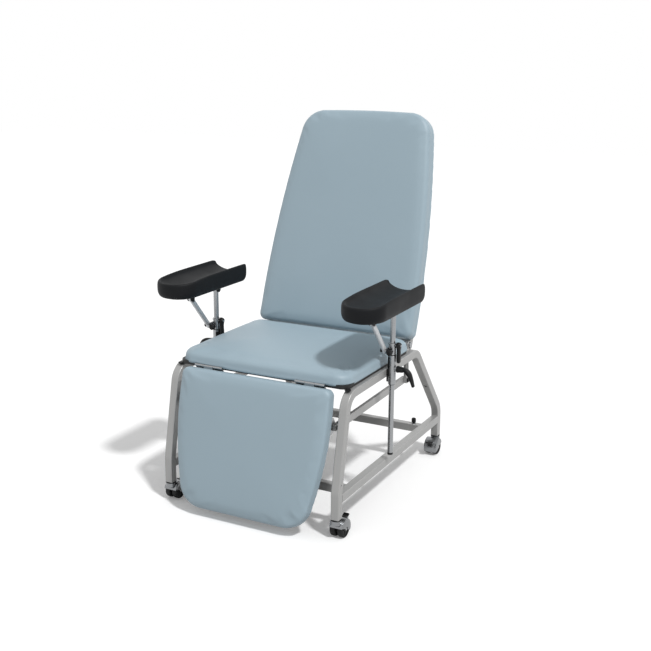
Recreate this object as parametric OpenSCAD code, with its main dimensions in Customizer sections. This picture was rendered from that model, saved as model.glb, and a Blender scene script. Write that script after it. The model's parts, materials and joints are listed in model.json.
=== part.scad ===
// Phlebotomy chair: a castered tube base, a seat, a backrest and a legrest that recline
// together through two link bars, and two trough armrests on posts.
// The origin is on the floor, midway between the four caster stems. +Z is up and the
// sitter faces -Y. Left and right are as seen from in front of the chair: right is +X.

/* [Base frame] */
// Distance between the front and the rear caster stems
wheelbase = 750; // [720:5:800]
// Distance between the middles of the two side frames
track = 560; // [550:1:580]
// Outside size of the square frame tube
tube = 25; // [24:0.5:26]
// Wall thickness of the frame tube
tube_wall = 2; // [1.5:0.25:3]
// Outside corner radius of the frame tube
tube_corner = 3; // [2:0.5:4]
// Height of the lower ends of the legs
leg_end_z = 60; // [58:0.5:64]
// Height of the middle of the top rails
rail_z = 405; // [400:1:410]
// Height of the middle of the lower rails and cross tubes
low_rail_z = 118; // [100:1:118]
// Height of the lower bend of the front legs
front_bend_z = 136; // [136:1:160]
// How far the front legs lean back
front_rake = 54; // [40:1:60]
// Height of the lower bend of the rear legs
rear_bend_z = 158; // [158:1:170]
// How far the rear legs slope forward
rear_rake = 211; // [200:1:212]
// Centre-line radius of the bends, except the lower rear ones
bend_r = 50; // [40:1:54]
// Centre-line radius of the lower rear bends
rear_bend_r = 74; // [60:1:74]
// How far the front cross tube lies behind the front caster stems
front_cross_back = 72.5; // [60:0.5:120]
// How far the rear cross tube lies in front of the rear caster stems
rear_cross_front = 114.5; // [60:0.5:160]
// Length of the sockets that the rear cross tube plugs into
socket_len = 34.5; // [30:0.5:60]
// Diameter of the accessory bore through each rear leg
accessory_bore_d = 8.4; // [6:0.1:10]
// Height of the accessory bore
accessory_bore_z = 270; // [230:1:320]

/* [Casters] */
// Diameter of the caster wheels
wheel_d = 50; // [46:1:50]
// Width of one caster wheel
wheel_w = 17; // [14:0.5:18]
// How far the wheel axle trails the caster stem
caster_trail = 21; // [18:0.5:24]
// Radial wall of the caster hood
hood_wall = 3; // [2.5:0.25:4]

/* [Seat] */
// How far the seat cushion stands out past the middles of the side frames
seat_overhang = 1; // [0:0.5:2]
// How far the front edge of the seat lies behind the front caster stems
seat_setback = 56; // [56:0.1:57]
// Gap between the back edge of the seat cushion and the backrest pivot
seat_back_gap = 31; // [29:1:45]
// How far the front edge bows forward at its middle
seat_bow = 8; // [2:0.5:8]
// Thickness of the seat cushion at its edge
seat_edge_t = 31; // [26:0.5:32]
// Rise of the seat cushion from its edge to its middle
seat_crown = 13; // [6:0.5:16]
// Thickness of the seat board
seat_board_t = 11.5; // [10:0.25:12]

/* [Backrest] */
// Lean of the upright backrest from the vertical, in degrees
back_lean = 19.8; // [19:0.1:22]
// How far the front face of the backrest lies in front of its pivot, at its reference height
back_face_lead = 13.7; // [5:0.1:14]
// Reference height on the front face of the backrest
back_face_z = 500; // [500:0.5:505]
// Length of the backrest above its reference height
back_up = 682; // [600:1:740]
// Length of the backrest below its reference height
back_down = 48; // [40:0.5:48]
// How much narrower each side of the backrest is than the seat, at its lower edge
back_inset = 1; // [0:0.5:11]
// How much narrower each side of the backrest is at its top edge than at its lower edge
back_taper = 51; // [20:0.5:60]
// How far the sides of the backrest bow out between its corners
back_bow = 13; // [4:0.5:16]
// Corner radius of the top of the backrest
back_top_r = 80; // [40:1:100]
// Thickness of the backrest cushion
back_t = 50; // [40:0.5:50]
// Rise of the backrest cushion from its edge to its middle
back_crown = 9; // [4:0.5:14]
// Thickness of the boards behind the backrest and legrest cushions
board_t = 8; // [6:0.5:9]

/* [Legrest] */
// Lean of the hanging legrest from the vertical, in degrees
leg_lean = 13; // [11:0.1:14]
// How far the front face of the legrest lies in front of the hinge
leg_face_lead = 33; // [32:0.1:36]
// Height of the reference point on the front face of the legrest
leg_face_z = 427; // [426:0.1:428]
// Distance from the reference point down to the top edge of the legrest
leg_top = 8; // [8:0.5:20]
// Distance from the reference point down to the bottom edge of the legrest
leg_bottom = 412; // [380:1:412]
// Gap between the legrest and each side frame, near its top
leg_side_gap = 17.5; // [16:0.5:37]
// How much narrower each side of the legrest is near its bottom than near its top
leg_taper = 38; // [30:0.5:60]
// Corner radius of the bottom of the legrest
leg_low_r = 82; // [50:1:100]
// How far the sides of the legrest bow out between its corners
leg_bow = 12; // [4:0.5:12]
// Thickness of the legrest cushion
leg_t = 37; // [30:0.5:38]
// Rise of the legrest cushion from its edge to its middle
leg_crown = 7; // [3:0.5:10]

/* [Recline linkage] */
// How far the backrest pivot lies in front of the rear caster stems
pivot_setback = 220; // [219:0.25:221]
// Height of the backrest pivot
pivot_z = 430; // [429.5:0.25:431]
// How far the legrest hinge lies in front of the front edge of the seat
hinge_lead = 5; // [4.8:0.1:5.4]
// Height of the legrest hinge
hinge_z = 424.3; // [424:0.1:424.4]
// How far the link pivots lie below the backrest pivot and the legrest hinge
crank_drop = 120; // [110:0.5:125]
// How far the link pivots lie behind the backrest pivot and the legrest hinge
crank_back = 10; // [5:0.5:14]
// Height of the link bars
link_h = 22; // [18:0.5:22]
// Thickness of the link bars
link_t = 10; // [8:0.5:10]
// Diameter of the pins at the ends of the link bars
link_pin_d = 10; // [8:0.25:10]
// Diameter of the backrest pivot pins
pivot_pin_d = 12; // [10:0.25:13]
// Diameter of the gas spring cylinder
gas_d = 22; // [18:0.5:24]
// Diameter of the gas spring rod
gas_rod_d = 10; // [8:0.5:12]

/* [Armrests] */
// Distance from the outer face of each side frame to its armrest post
post_out = 13.5; // [13.5:0.5:17.5]
// How far the armrest posts lie in front of the origin
post_front = 70; // [40:1:100]
// Diameter of the armrest posts
post_d = 16; // [15:0.25:16.5]
// Wall thickness of the armrest posts
post_wall = 1.5; // [1:0.25:2]
// Height of the lower end of the armrest posts
post_low_z = 150; // [140:1:160]
// Height of the tilt hinge at the top of the posts
tilt_z = 592; // [580:1:600]
// Length of the armrest pads
pad_len = 348; // [320:1:360]
// Width of the armrest pads
pad_w = 132; // [110:1:140]
// How far the armrest pads reach behind their posts
pad_behind = 88; // [70:1:95]
// Height of the armrest pads at the rim
pad_h = 56; // [48:1:60]
// Thickness of the floor of the armrest troughs
pad_floor_t = 24; // [18:0.5:30]
// Height of the bolt at the lower end of the struts
strut_low_z = 478; // [477:0.5:480]
// Distance from the post to the bolt at the lower end of the strut
strut_low_front = 25; // [24:0.5:28]
// Distance from the post to the bolt at the upper end of the strut
strut_high_front = 118; // [100:1:130]
// How far the upper strut bolt lies below the tilt hinge
strut_high_drop = 9; // [6:0.5:10]
// Diameter of the strut tubes
strut_d = 15; // [13:0.5:16]

/* [Hidden] */
$fn = 64;
// How far a cut runs past the face it opens
over = 1;
// Gap between a cushion and what carries it, and between curved faces that nearly touch
rest_gap = 0.3;
// Gap at each face of a hinge joint, and the radial clearance of pins and posts
side_gap = 0.5;
run_gap = 0.05;
// Radial gap at a pivot that the linkage leaves open
loose_gap = 0.25;

// Frame tube
half_track = track / 2;
half_tube = tube / 2;
stem_y = wheelbase / 2;
rail_in = half_track - half_tube;
rail_out = half_track + half_tube;
rail_top = rail_z + half_tube;
tube_inner_corner = 1;
bend_swell = 0.06;
bend_lap = 0.3;
bar_ease = 0.05;
vent_d = 5;
vent_z = 160;
// The accessory bore lies where the sloping rear leg reaches its height
slope_share = (accessory_bore_z - rear_bend_z) / (rail_z - rear_bend_z);
accessory_y = stem_y - rear_rake * slope_share;
slope_angle = atan2(rail_z - rear_bend_z, -rear_rake);

// Sockets, spigots and locking knobs of the rear cross tube
front_cross_y = -stem_y + front_cross_back;
rear_cross_y = stem_y - rear_cross_front;
socket_in = rail_in - socket_len;
spigot_gap = 0.2;
spigot_reach = 26;
spigot_in = 24;
knob_seat = 13;
knob_d = 15;
knob_h = 19;
knob_stem_d = 8;
knob_dome = 6;

// Casters
hood_gap = 1.2;
hood_r = wheel_d / 2 + hood_gap + hood_wall;
web_t = 6;
web_gap = 0.8;
hood_w = web_t + 2 * (web_gap + wheel_w);
axle_z = wheel_d / 2;
axle_d = 6;
tread_round = 3;
boss_d = 30;
boss_sink = 6;
boss_low = axle_z + wheel_d / 2 - boss_sink;
stem_d = 11;
stem_up = 30;
insert_flange = 3;
insert_up = 34;
insert_gap = 0.1;
boss_top = leg_end_z - insert_flange - side_gap;
hood_tilt = 18;
pedal_angle = 38;
pedal_barrel_d = 7;
pedal_w = 18;
pedal_len = 17;
pedal_t = 4;
pedal_pin_d = 3;
lug_t = 3;
lug_d = 9;
front_turn = 0;
back_turn = 180;
pedal_out = hood_r + rest_gap + pedal_barrel_d / 2;

// Shape of the sides and of the crown of the cushions
cushion_base_in = 4;
cushion_waist_in = 1.5;
cushion_waist_share = 0.25;
cushion_edge_share = 1.6;
cushion_edge_turn = 30;
crown_shares = [0.93, 0.8, 0.62, 0.42, 0.2];
crown_power = 2.4;

// Seat
pivot_y = stem_y - pivot_setback;
board_z = rail_top;
seat_cushion_z = board_z + seat_board_t + rest_gap;
seat_corner_r = 50;
seat_back_r = 24;
seat_side_bow = 1;
seat_edge_r = 13;
seat_half_w = half_track + seat_overhang;
seat_front = stem_y - seat_setback;
seat_back = pivot_y - seat_back_gap;
seat_board_in = 1.5;
seat_board_lead = 3.7;
seat_board_short = 4;
seat_board_corner = 25;
notch_len = 24;
stop_d = 16;
stop_tip_d = 8;
stop_in = 10;
stop_x = rail_in + stop_in;
stop_y = -seat_front + seat_board_lead + stop_d / 2;
stop_z = 413.4;

// Backrest and its frame
back_face_y = pivot_y - back_face_lead;
back_half_w = seat_half_w - back_inset;
back_top_half_w = back_half_w - back_taper;
back_corner_r = 36;
back_top_bow = 3;
back_edge_r = 16;
back_base_in = 6;
back_board_in = 14;
frame_tube = 20;
frame_tube_corner = 2.5;
frame_side_x = 170;
frame_high = 590;
frame_low = -55;
frame_second = 66;
frame_mid = 320;
frame_t = back_t + board_t + frame_tube / 2;

// Legrest
hinge_front = seat_front + hinge_lead;
leg_face_front = hinge_front + leg_face_lead;
leg_half_w = rail_in - leg_side_gap;
leg_low_half_w = leg_half_w - leg_taper;
leg_top_r = 34;
leg_edge_r = 12;
leg_board_in = 12;

// Cranks, link bars and their pins, stacked inwards from the top rails
pivot_plate_t = 5;
pivot_plate_r = 12;
crank_t = 8;
crank_w = 22;
crank_spacer = 4;
crank_out = rail_in - pivot_plate_t - crank_spacer;
crank_in = crank_out - crank_t;
link_out = crank_in - side_gap;
link_in = link_out - link_t;
leg_bracket_t = 5;
leg_bracket_out = link_in - side_gap;
leg_bracket_in = leg_bracket_out - leg_bracket_t;
leg_bracket_w = 20;
leg_bracket_high = 82;
leg_bracket_low = 132;
pin_head_t = 4;
pin_head_d = 20;
cap_d = 14;
cap_h = 6;
crank_elbow = 70;
crank_top = 76;
pivot = [pivot_y, pivot_z];
hinge = [-hinge_front, hinge_z];
crank_arm = [crank_back, -crank_drop];
link_back = pivot + crank_arm;
link_front = hinge + crank_arm;

// Seat to legrest hinges
leaf_near = 121;
leaf_far = 215;
leaf_t = 3;
barrel_d = 8.4;
hinge_pin_d = 4;
knuckle_gap = 0.4;
knuckle_len = (leaf_far - leaf_near) / 3;
flange_len = 30;
leaf_len = 36;

// Gas spring under the seat, and the bar that carries its front end
bar = 20;
bar_corner = 2.5;
bar_setback = 135;
bar_front = stem_y - bar_setback;
bar_z = rail_top - bar / 2;
gas_crank_r = 45;
gas_crank_angle = (90 - back_lean) / 2;
gas_end = [gas_crank_r * sin(gas_crank_angle), -gas_crank_r * cos(gas_crank_angle)];
gas_z = pivot_z + gas_end[1];
gas_rod_y = pivot_y + gas_end[0];
gas_travel = 2 * gas_end[0];
gas_eye_r = 8;
gas_eye_t = gas_rod_d;
gas_pin_d = 8;
gas_anchor_back = 14;
gas_anchor_y = -bar_front + bar / 2 + gas_anchor_back;
gas_eye_neck = 2;
gas_body_low = gas_anchor_y + gas_eye_r + gas_eye_neck;
gas_rod_out = 20;
gas_body_high = gas_rod_y - gas_travel - gas_eye_r - gas_rod_out;
gas_rod_len = 121;
gas_rod_in = gas_rod_y - gas_rod_len;
gas_bore_spare = 28;
gas_bore_low = gas_rod_in - gas_travel - gas_bore_spare;
gas_plate_t = 4;
gas_plate_in = gas_eye_t / 2 + side_gap;
gas_plate_out = gas_plate_in + gas_plate_t;
gas_slot_long = 9;
gas_slot_wide = 1.7;
bar_ear_w = 16;
back_lug_w = 24;

// Armrest clamp on the top rail
post_x = rail_out + post_out;
bush_wall = 1.5;
bush_r = post_d / 2 + run_gap + bush_wall;
sleeve_wall = 2;
sleeve_in_r = bush_r + run_gap;
sleeve_r = sleeve_in_r + sleeve_wall;
sleeve_low = 372;
sleeve_high = 460;
bush_flange_t = 2;
clamp_low = 380;
clamp_high = 396;
clamp_w = 20;
liner_low = 398;
liner_high = 455;
liner_wall = 1.7;
liner_cut_share = 0.3;
liner_r = sleeve_r + liner_wall;
clamp_stud_z = 419;
clamp_stud_d = 8;
clamp_boss_d = 14;
clamp_boss_out = 15;
clamp_hub_d = 19;
clamp_hub_out = 36;
clamp_arm_r = 6;
clamp_arm_bend = [52, 5];
clamp_arm_end = [66, -44];
clamp_arm_bend_r = 14;
clamp_tip_swell = 0.6;

// Armrest collar, strut and levers, measured from the post
post_cap_t = 5;
post_cap_plug = 12;
post_top = 7;
collar_rise = 0.7;
collar_low = sleeve_high + bush_flange_t + collar_rise;
collar_high = 493;
collar_wall = 3;
collar_in_r = post_d / 2 + run_gap;
collar_r = collar_in_r + collar_wall;
collar_flange_t = 4;
collar_flange_out = 1.5;
collar_flange_r = collar_r + collar_flange_out;
strut_pin_d = 6;
eye_r = 9;
eye_w = 7;
eye_x = -13.5;
lug_plate_t = 4;
lug_plate_x = eye_x + eye_w / 2 + rest_gap + lug_plate_t / 2;
strut_neck = 12;
strut_cap_d = 12;
strut_cap_out = 9;
front_knob_x = 3.4;
front_knob_z = 474;
front_knob_d = 17;
front_knob_near = 22;
front_knob_far = 38;
tilt_lever_x = 17.5;
tilt_lever_z = 491;
tilt_hub_r = 10;
tilt_arm_r = 4;
tilt_arm_len = 51;
tilt_stud_d = 6;
strut_low = [-strut_low_front, strut_low_z];
strut_high = [-strut_high_front, tilt_z - strut_high_drop];
strut_angle = atan2(strut_high[0] - strut_low[0], strut_high[1] - strut_low[1]);
strut_len = norm(strut_high - strut_low);
open_pivot_gap = 2;

// Armrest pad and its plate
plate_t = 3;
pad_over_hinge = 18;
pad_low = tilt_z + pad_over_hinge;
plate_low = pad_low - rest_gap - plate_t;
plate_in = 22;
cheek_t = 4;
cheek_r = 9;
pad_rim_w = 15;
pad_tip_drop = 13;
pad_back_r = 14;
pad_front_flat = 0.5;
// Rows of points up the outside of a pad and down into its trough, as shares of the width
// and of the height of the rim
pad_side_in_shares = [0.67, 0.17, 0, 0.13, 0.35];
pad_side_up_shares = [0, 0.16, 0.5, 0.93, 1];
trough_in_shares = [0.75, 1, 1.5, 2.1];
trough_up_shares = [1, 0.86, 0.2, 0];

steel_paint = "#BEBCB9";
zinc = "#D8D8D6";
chrome = "#C9CBCD";
black = "#17191B";
vinyl = "#9BACB6";

// Plane geometry

function turn_at(a, b, c) =
    let (u = b - a, v = c - b) atan2(u[0] * v[1] - u[1] * v[0], u * v);
function cut_back(a, b, c, r) = r * tan(abs(turn_at(a, b, c)) / 2);
function toward(a, b, d) = a + (b - a) * (d / norm(b - a));
function heading(a, b) = atan2(b[1] - a[1], b[0] - a[0]);

// Points round corner b of an outline, on an arc of radius r
function corner_arc(a, b, c, r, steps) =
    let (turn = turn_at(a, b, c), start = toward(b, a, cut_back(a, b, c, r)),
        head = heading(a, b), side = sign(turn),
        mid = start + r * side * [-sin(head), cos(head)])
    [for (i = [0:steps]) let (at = head - side * 90 + turn * i / steps)
        mid + r * [cos(at), sin(at)]];

// Points between p and q, without them, on a line bowed out to the right by rise
function bowed_side(p, q, rise, steps) =
    let (out = [q[1] - p[1], p[0] - q[0]] / norm(q - p))
    [for (i = [1:steps - 1]) let (t = i / steps) p + (q - p) * t + out * rise * 4 * t * (1 - t)];

// A closed outline from its corners, corner radii and side bows, counterclockwise
function outline(corners, radii, bows, arc_steps = 5, side_steps = 6) =
    let (n = len(corners),
        arcs = [for (i = [0:n - 1]) corner_arc(corners[(i + n - 1) % n], corners[i],
            corners[(i + 1) % n], radii[i], arc_steps)])
    [for (i = [0:n - 1]) each concat(arcs[i],
        bowed_side(arcs[i][arc_steps], arcs[(i + 1) % n][0], bows[i], side_steps))];

function middle(points) =
    let (xs = [for (p = points) p[0]], ys = [for (p = points) p[1]])
    [(min(xs) + max(xs)) / 2, (min(ys) + max(ys)) / 2];
function half_size(points) =
    let (xs = [for (p = points) p[0]], ys = [for (p = points) p[1]])
    [(max(xs) - min(xs)) / 2, (max(ys) - min(ys)) / 2];
function drawn_in(p, mid, half, inset) =
    [mid[0] + (p[0] - mid[0]) * (1 - inset / half[0]),
     mid[1] + (p[1] - mid[1]) * (1 - inset / half[1])];

// Rings of points joined into one closed skin, with a point at each end
module ring_skin(rings, first, last) {
    n = len(rings[0]);
    m = len(rings);
    points = concat([first], [for (ring = rings) each ring], [last]);
    polyhedron(points, concat(
        [for (i = [0:n - 1]) [0, 1 + i, 1 + (i + 1) % n]],
        [for (r = [0:m - 2], i = [0:n - 1], k = [0, 1])
            let (a = 1 + r * n + i, b = 1 + r * n + (i + 1) % n, c = a + n, d = b + n)
            k == 0 ? [a, c, b] : [b, c, d]],
        [for (i = [0:n - 1]) let (a = 1 + (m - 1) * n) [a + i, m * n + 1, a + (i + 1) % n]]));
}

// A crowned cushion with drawn-in sides and a rounded upper edge, flat below
module cushion(points, thickness, crown, edge_r, base_in) {
    mid = middle(points);
    half = half_size(points);
    rows = concat([[base_in, 0], [cushion_waist_in, thickness * cushion_waist_share],
        [0, thickness - edge_r * cushion_edge_share]],
        [for (a = [0:cushion_edge_turn:90])
            [edge_r * (1 - cos(a)), thickness - edge_r * (1 - sin(a))]]);
    reach = 1 - edge_r / min(half);
    edge_rings = [for (row = rows) [for (p = points)
        let (q = drawn_in(p, mid, half, row[0])) [q[0], q[1], row[1]]]];
    top_rings = [for (k = crown_shares) [for (p = points)
        [mid[0] + (p[0] - mid[0]) * k * reach, mid[1] + (p[1] - mid[1]) * k * reach,
         thickness + crown * (1 - pow(k, crown_power))]]];
    ring_skin(concat(edge_rings, top_rings), [mid[0], mid[1], 0],
        [mid[0], mid[1], thickness + crown]);
}

// Shared shapes

module rounded_square(size, corner) {
    square([size, size - 2 * corner], center = true);
    square([size - 2 * corner, size], center = true);
    for (sx = [-1, 1], sy = [-1, 1])
        translate([sx, sy] * (size / 2 - corner)) circle(corner);
}

// Draws its children, which lie in a plane, upright in the plane across X
module side_view() {
    rotate([90, 0, 90]) children();
}

// Extrudes a side view from x = low to x = high
module across(low, high) {
    translate([low, 0, 0]) side_view() linear_extrude(high - low) children();
}

module cross_pin(at, d, low, high) {
    translate([low, at[0], at[1]]) rotate([0, 90, 0]) cylinder(d = d, h = high - low);
}

// A flat bar with round ends between two points of a side view. Its sides lie a little
// inside the rounds, so that they cross them instead of touching them
module bar2d(p, q, width) {
    side = width - 2 * bar_ease;
    translate(p) circle(d = width);
    translate(q) circle(d = width);
    translate(p) rotate(heading(p, q)) translate([0, -side / 2]) square([norm(q - p), side]);
}

// Sweeps a section along a path of straights and bends in the side view. The second
// child is the section at the bends, a little fuller, and the straights run into them
module bent_path(points, radii, ends = 0) {
    n = len(points);
    cuts = [for (i = [0:n - 1]) i == 0 || i == n - 1 ? 0
        : cut_back(points[i - 1], points[i], points[i + 1], radii[i])];
    for (i = [0:n - 2]) {
        p = toward(points[i], points[i + 1], i == 0 ? -ends : cuts[i] - bend_lap);
        q = toward(points[i + 1], points[i], i == n - 2 ? -ends : cuts[i + 1] - bend_lap);
        translate(p) rotate(heading(p, q)) rotate([0, 90, 0])
            linear_extrude(norm(q - p)) children(0);
    }
    for (i = [1:n - 2]) {
        a = points[i - 1];
        b = points[i];
        turn = turn_at(a, b, points[i + 1]);
        head = heading(a, b);
        side = sign(turn);
        mid = toward(b, a, cuts[i]) + radii[i] * side * [-sin(head), cos(head)];
        translate(mid) rotate(side > 0 ? head - 90 : head + 90 - abs(turn))
            rotate_extrude(angle = abs(turn)) translate([radii[i], 0]) children(1);
    }
}

module box_tube(size, corner, wall, length) {
    difference() {
        linear_extrude(length) rounded_square(size, corner);
        translate([0, 0, -over]) linear_extrude(length + 2 * over)
            rounded_square(size - 2 * wall, tube_inner_corner);
    }
}

// A box tube along X between two distances from the middle
module cross_tube(y, z, low, high, size = tube, corner = tube_corner, wall = tube_wall) {
    translate([low, y, z]) rotate([0, 90, 0]) box_tube(size, corner, wall, high - low);
}

// A turned cap with a rounded outer edge, standing on z = 0
module domed_cap(d, h, dome) {
    rotate_extrude() {
        square([d / 2 - dome, h]);
        square([d / 2, h - dome]);
        translate([d / 2 - dome, h - dome]) intersection() {
            circle(dome);
            square(dome);
        }
    }
}

module on_side(side) {
    if (side < 0) mirror([1, 0, 0]) children();
    else children();
}

module both_sides() {
    children();
    mirror([1, 0, 0]) children();
}

// Base frame

side_path = [[-stem_y, leg_end_z], [-stem_y, front_bend_z], [-stem_y + front_rake, rail_z],
    [stem_y - rear_rake, rail_z], [stem_y, rear_bend_z], [stem_y, leg_end_z]];
side_radii = [0, bend_r, bend_r, bend_r, rear_bend_r, 0];

module tube_path(size, corner, ends) {
    bent_path(side_path, side_radii, ends) {
        rounded_square(size, corner);
        rounded_square(size + bend_swell, corner);
    }
}

module side_frame(side) {
    color(steel_paint) on_side(side) difference() {
        union() {
            translate([half_track, 0, 0]) side_view() difference() {
                tube_path(tube, tube_corner, 0);
                tube_path(tube - 2 * tube_wall, tube_inner_corner, over);
            }
            across(rail_in - pivot_plate_t, rail_in)
                bar2d(pivot, [pivot_y - pivot_plate_r, rail_z], 2 * pivot_plate_r);
        }
        cross_pin(pivot, pivot_pin_d + 2 * run_gap, rail_in - pivot_plate_t - over,
            rail_in + over);
        translate([half_track, accessory_y, accessory_bore_z]) rotate([slope_angle - 180, 0, 0])
            cylinder(d = accessory_bore_d, h = tube + 2 * over, center = true);
        cross_pin([-stem_y + (vent_z - front_bend_z) * front_rake / (rail_z - front_bend_z),
            vent_z], vent_d, half_track, rail_out + over);
    }
}

// The lower rail carries the socket of the rear cross tube, drilled for its locking knob
module lower_rail(side) {
    color(steel_paint) on_side(side) {
        translate([half_track, -stem_y + half_tube, low_rail_z]) rotate([-90, 0, 0])
            box_tube(tube, tube_corner, tube_wall, wheelbase - tube);
        difference() {
            cross_tube(rear_cross_y, low_rail_z, socket_in, rail_in);
            knob_hole(half_tube + over);
        }
    }
}

module knob_hole(height) {
    translate([socket_in + knob_seat, rear_cross_y, low_rail_z])
        cylinder(d = knob_stem_d + 2 * run_gap, h = height);
}

module front_cross_tube() {
    color(steel_paint) cross_tube(front_cross_y, low_rail_z, -rail_in, rail_in);
}

// The spigots fill the ends of the tube and reach into the sockets
module rear_cross_tube() {
    inner = tube - 2 * tube_wall;
    color(steel_paint) {
        cross_tube(rear_cross_y, low_rail_z, -socket_in, socket_in);
        both_sides() {
            cross_tube(rear_cross_y, low_rail_z, socket_in - spigot_in, socket_in, inner,
                tube_inner_corner);
            difference() {
                cross_tube(rear_cross_y, low_rail_z, socket_in, socket_in + spigot_reach,
                    inner - 2 * spigot_gap, tube_inner_corner);
                knob_hole(half_tube);
            }
        }
    }
}

module cross_tube_knob(side) {
    top = low_rail_z + half_tube;
    color(black) translate([side * (socket_in + knob_seat), rear_cross_y, 0]) {
        translate([0, 0, top - tube_wall - spigot_gap - tube_wall])
            cylinder(d = knob_stem_d, h = 2 * tube_wall + spigot_gap + rest_gap);
        translate([0, 0, top + rest_gap]) domed_cap(knob_d, knob_h, knob_dome);
    }
}

// Each pin has a head, and a collar that spaces the crank from its plate
module back_pivot_pins() {
    low = crank_in;
    color(zinc) both_sides() {
        cross_pin(pivot, pivot_pin_d, low, rail_in + side_gap);
        cross_pin(pivot, pin_head_d - 2 * rest_gap, rail_in + rest_gap, rail_in + pin_head_t);
        cross_pin(pivot, pin_head_d, crank_out + rest_gap, rail_in - pivot_plate_t - rest_gap);
    }
}

module seat_crossbar() {
    color(steel_paint) {
        cross_tube(-bar_front, bar_z, -rail_in, rail_in, bar, bar_corner, tube_wall);
        both_sides() difference() {
            across(gas_plate_in, gas_plate_out) {
                bar2d([gas_anchor_y, gas_z], [-bar_front + bar / 2, bar_z - bar / 4], bar_ear_w);
            }
            cross_pin([gas_anchor_y, gas_z], gas_pin_d + 2 * run_gap, 0, gas_plate_out + over);
            translate([0, -bar_front - bar / 2, bar_z - bar / 2 - bar])
                cube([gas_plate_out + over, bar, 2 * bar]);
        }
    }
}

module leg_inserts() {
    size = tube - 2 * tube_wall - 2 * insert_gap;
    color(black) for (x = [-half_track, half_track], y = [-stem_y, stem_y])
        translate([x, y, leg_end_z]) difference() {
            union() {
                translate([0, 0, -insert_flange]) linear_extrude(insert_flange)
                    rounded_square(tube, tube_corner);
                linear_extrude(insert_up) rounded_square(size, tube_inner_corner);
            }
            translate([0, 0, -insert_flange - over])
                cylinder(d = stem_d + 2 * run_gap, h = insert_flange + insert_up + 2 * over);
        }
}

// Seat

function seat_outline() = outline(
    [[-seat_half_w, -seat_front], [seat_half_w, -seat_front], [seat_half_w, seat_back],
     [-seat_half_w, seat_back]],
    [seat_corner_r, seat_corner_r, seat_back_r, seat_back_r],
    [seat_bow, seat_side_bow, 0, seat_side_bow]);

module seat_board() {
    half = seat_half_w - seat_board_in;
    length = seat_front - seat_board_lead + seat_back - seat_board_short;
    color(black) difference() {
        translate([0, -seat_front + seat_board_lead, board_z]) linear_extrude(seat_board_t) {
            translate([-half, seat_board_corner]) square([2 * half, length - seat_board_corner]);
            translate([-half + seat_board_corner, 0])
                square([2 * (half - seat_board_corner), seat_board_corner]);
            for (s = [-1, 1]) translate([s * (half - seat_board_corner), seat_board_corner])
                circle(seat_board_corner);
        }
        for (s = [-1, 1]) translate([s * (crank_in - 2 * side_gap), seat_back - notch_len - rest_gap,
            board_z - over]) mirror([s < 0 ? 1 : 0, 0, 0])
                cube([half, notch_len + over, seat_board_t + 2 * over]);
    }
}

module seat_cushion() {
    color(vinyl) translate([0, 0, seat_cushion_z])
        cushion(seat_outline(), seat_edge_t, seat_crown, seat_edge_r, cushion_base_in);
}

module seat_stops() {
    color(black) both_sides() translate([stop_x, stop_y, stop_z])
        cylinder(d1 = stop_tip_d, d2 = stop_d, h = board_z - stop_z);
}

// Legrest

module leg_view() {
    translate([0, -leg_face_front, leg_face_z]) rotate([90 - leg_lean, 0, 0]) children();
}

function leg_outline(inset = 0) =
    let (w = leg_half_w - inset, v = leg_low_half_w - inset)
    outline([[-v, -leg_bottom + inset], [v, -leg_bottom + inset], [w, -leg_top - inset],
        [-w, -leg_top - inset]], [leg_low_r, leg_low_r, leg_top_r, leg_top_r],
        [0, leg_bow, 0, leg_bow]);

// A point of the side view from its distance along the legrest and behind its face
function leg_point(down, behind) = [-leg_face_front, leg_face_z]
    + down * [-sin(leg_lean), -cos(leg_lean)] + behind * [cos(leg_lean), -sin(leg_lean)];

module legrest_board() {
    color(black) leg_view() translate([0, 0, -leg_t - board_t])
        linear_extrude(board_t) polygon(leg_outline(leg_board_in));
}

module legrest_cushion() {
    color(vinyl) leg_view() translate([0, 0, -leg_t + rest_gap])
        cushion(leg_outline(), leg_t - rest_gap - leg_crown / 2, leg_crown, leg_edge_r, cushion_base_in);
}

module legrest_brackets() {
    rear = leg_t + board_t + leaf_t / 2;
    high = leg_point(leg_bracket_high, rear);
    low = leg_point(leg_bracket_low, rear);
    color(zinc) both_sides() {
        difference() {
            across(leg_bracket_in, leg_bracket_out) {
                bar2d(link_front, leg_point(leg_bracket_high + leg_bracket_w / 2,
                    rear + leg_bracket_w / 2 - leaf_t / 2), leg_bracket_w);
                bar2d(link_front, leg_point(leg_bracket_low - leg_bracket_w / 2,
                    rear + leg_bracket_w / 2 - leaf_t / 2), leg_bracket_w);
            }
            cross_pin(link_front, link_pin_d + 2 * run_gap, leg_bracket_in - over,
                leg_bracket_out + over);
        }
        leg_view() translate([leg_bracket_in - leg_bracket_w, -leg_bracket_low,
            -leg_t - board_t - leaf_t])
            cube([leg_bracket_w, leg_bracket_low - leg_bracket_high, leaf_t]);
    }
}

// The hinge between seat and legrest: one knuckle on the board, two on the legrest
module legrest_hinge_fixed() {
    near = leaf_near + knuckle_len + knuckle_gap;
    far = leaf_far - knuckle_len - knuckle_gap;
    heel = [hinge[0] + barrel_d / 2, board_z - leaf_t / 2];
    toe = heel + [flange_len, 0];
    color(zinc) both_sides() {
        difference() {
            across(near, far) {
                translate(hinge) circle(d = barrel_d);
                bar2d(hinge + [leaf_t / 2 - barrel_d / 2, 0], [hinge[0] + leaf_t / 2 - barrel_d / 2,
                    heel[1]], leaf_t);
                bar2d([hinge[0] + leaf_t / 2 - barrel_d / 2, heel[1]], heel, leaf_t);
                bar2d(heel, toe, leaf_t);
            }
            cross_pin(hinge, hinge_pin_d + 2 * run_gap, near - over, far + over);
        }
        cross_pin(hinge, hinge_pin_d, leaf_near, leaf_far);
    }
}

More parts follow.
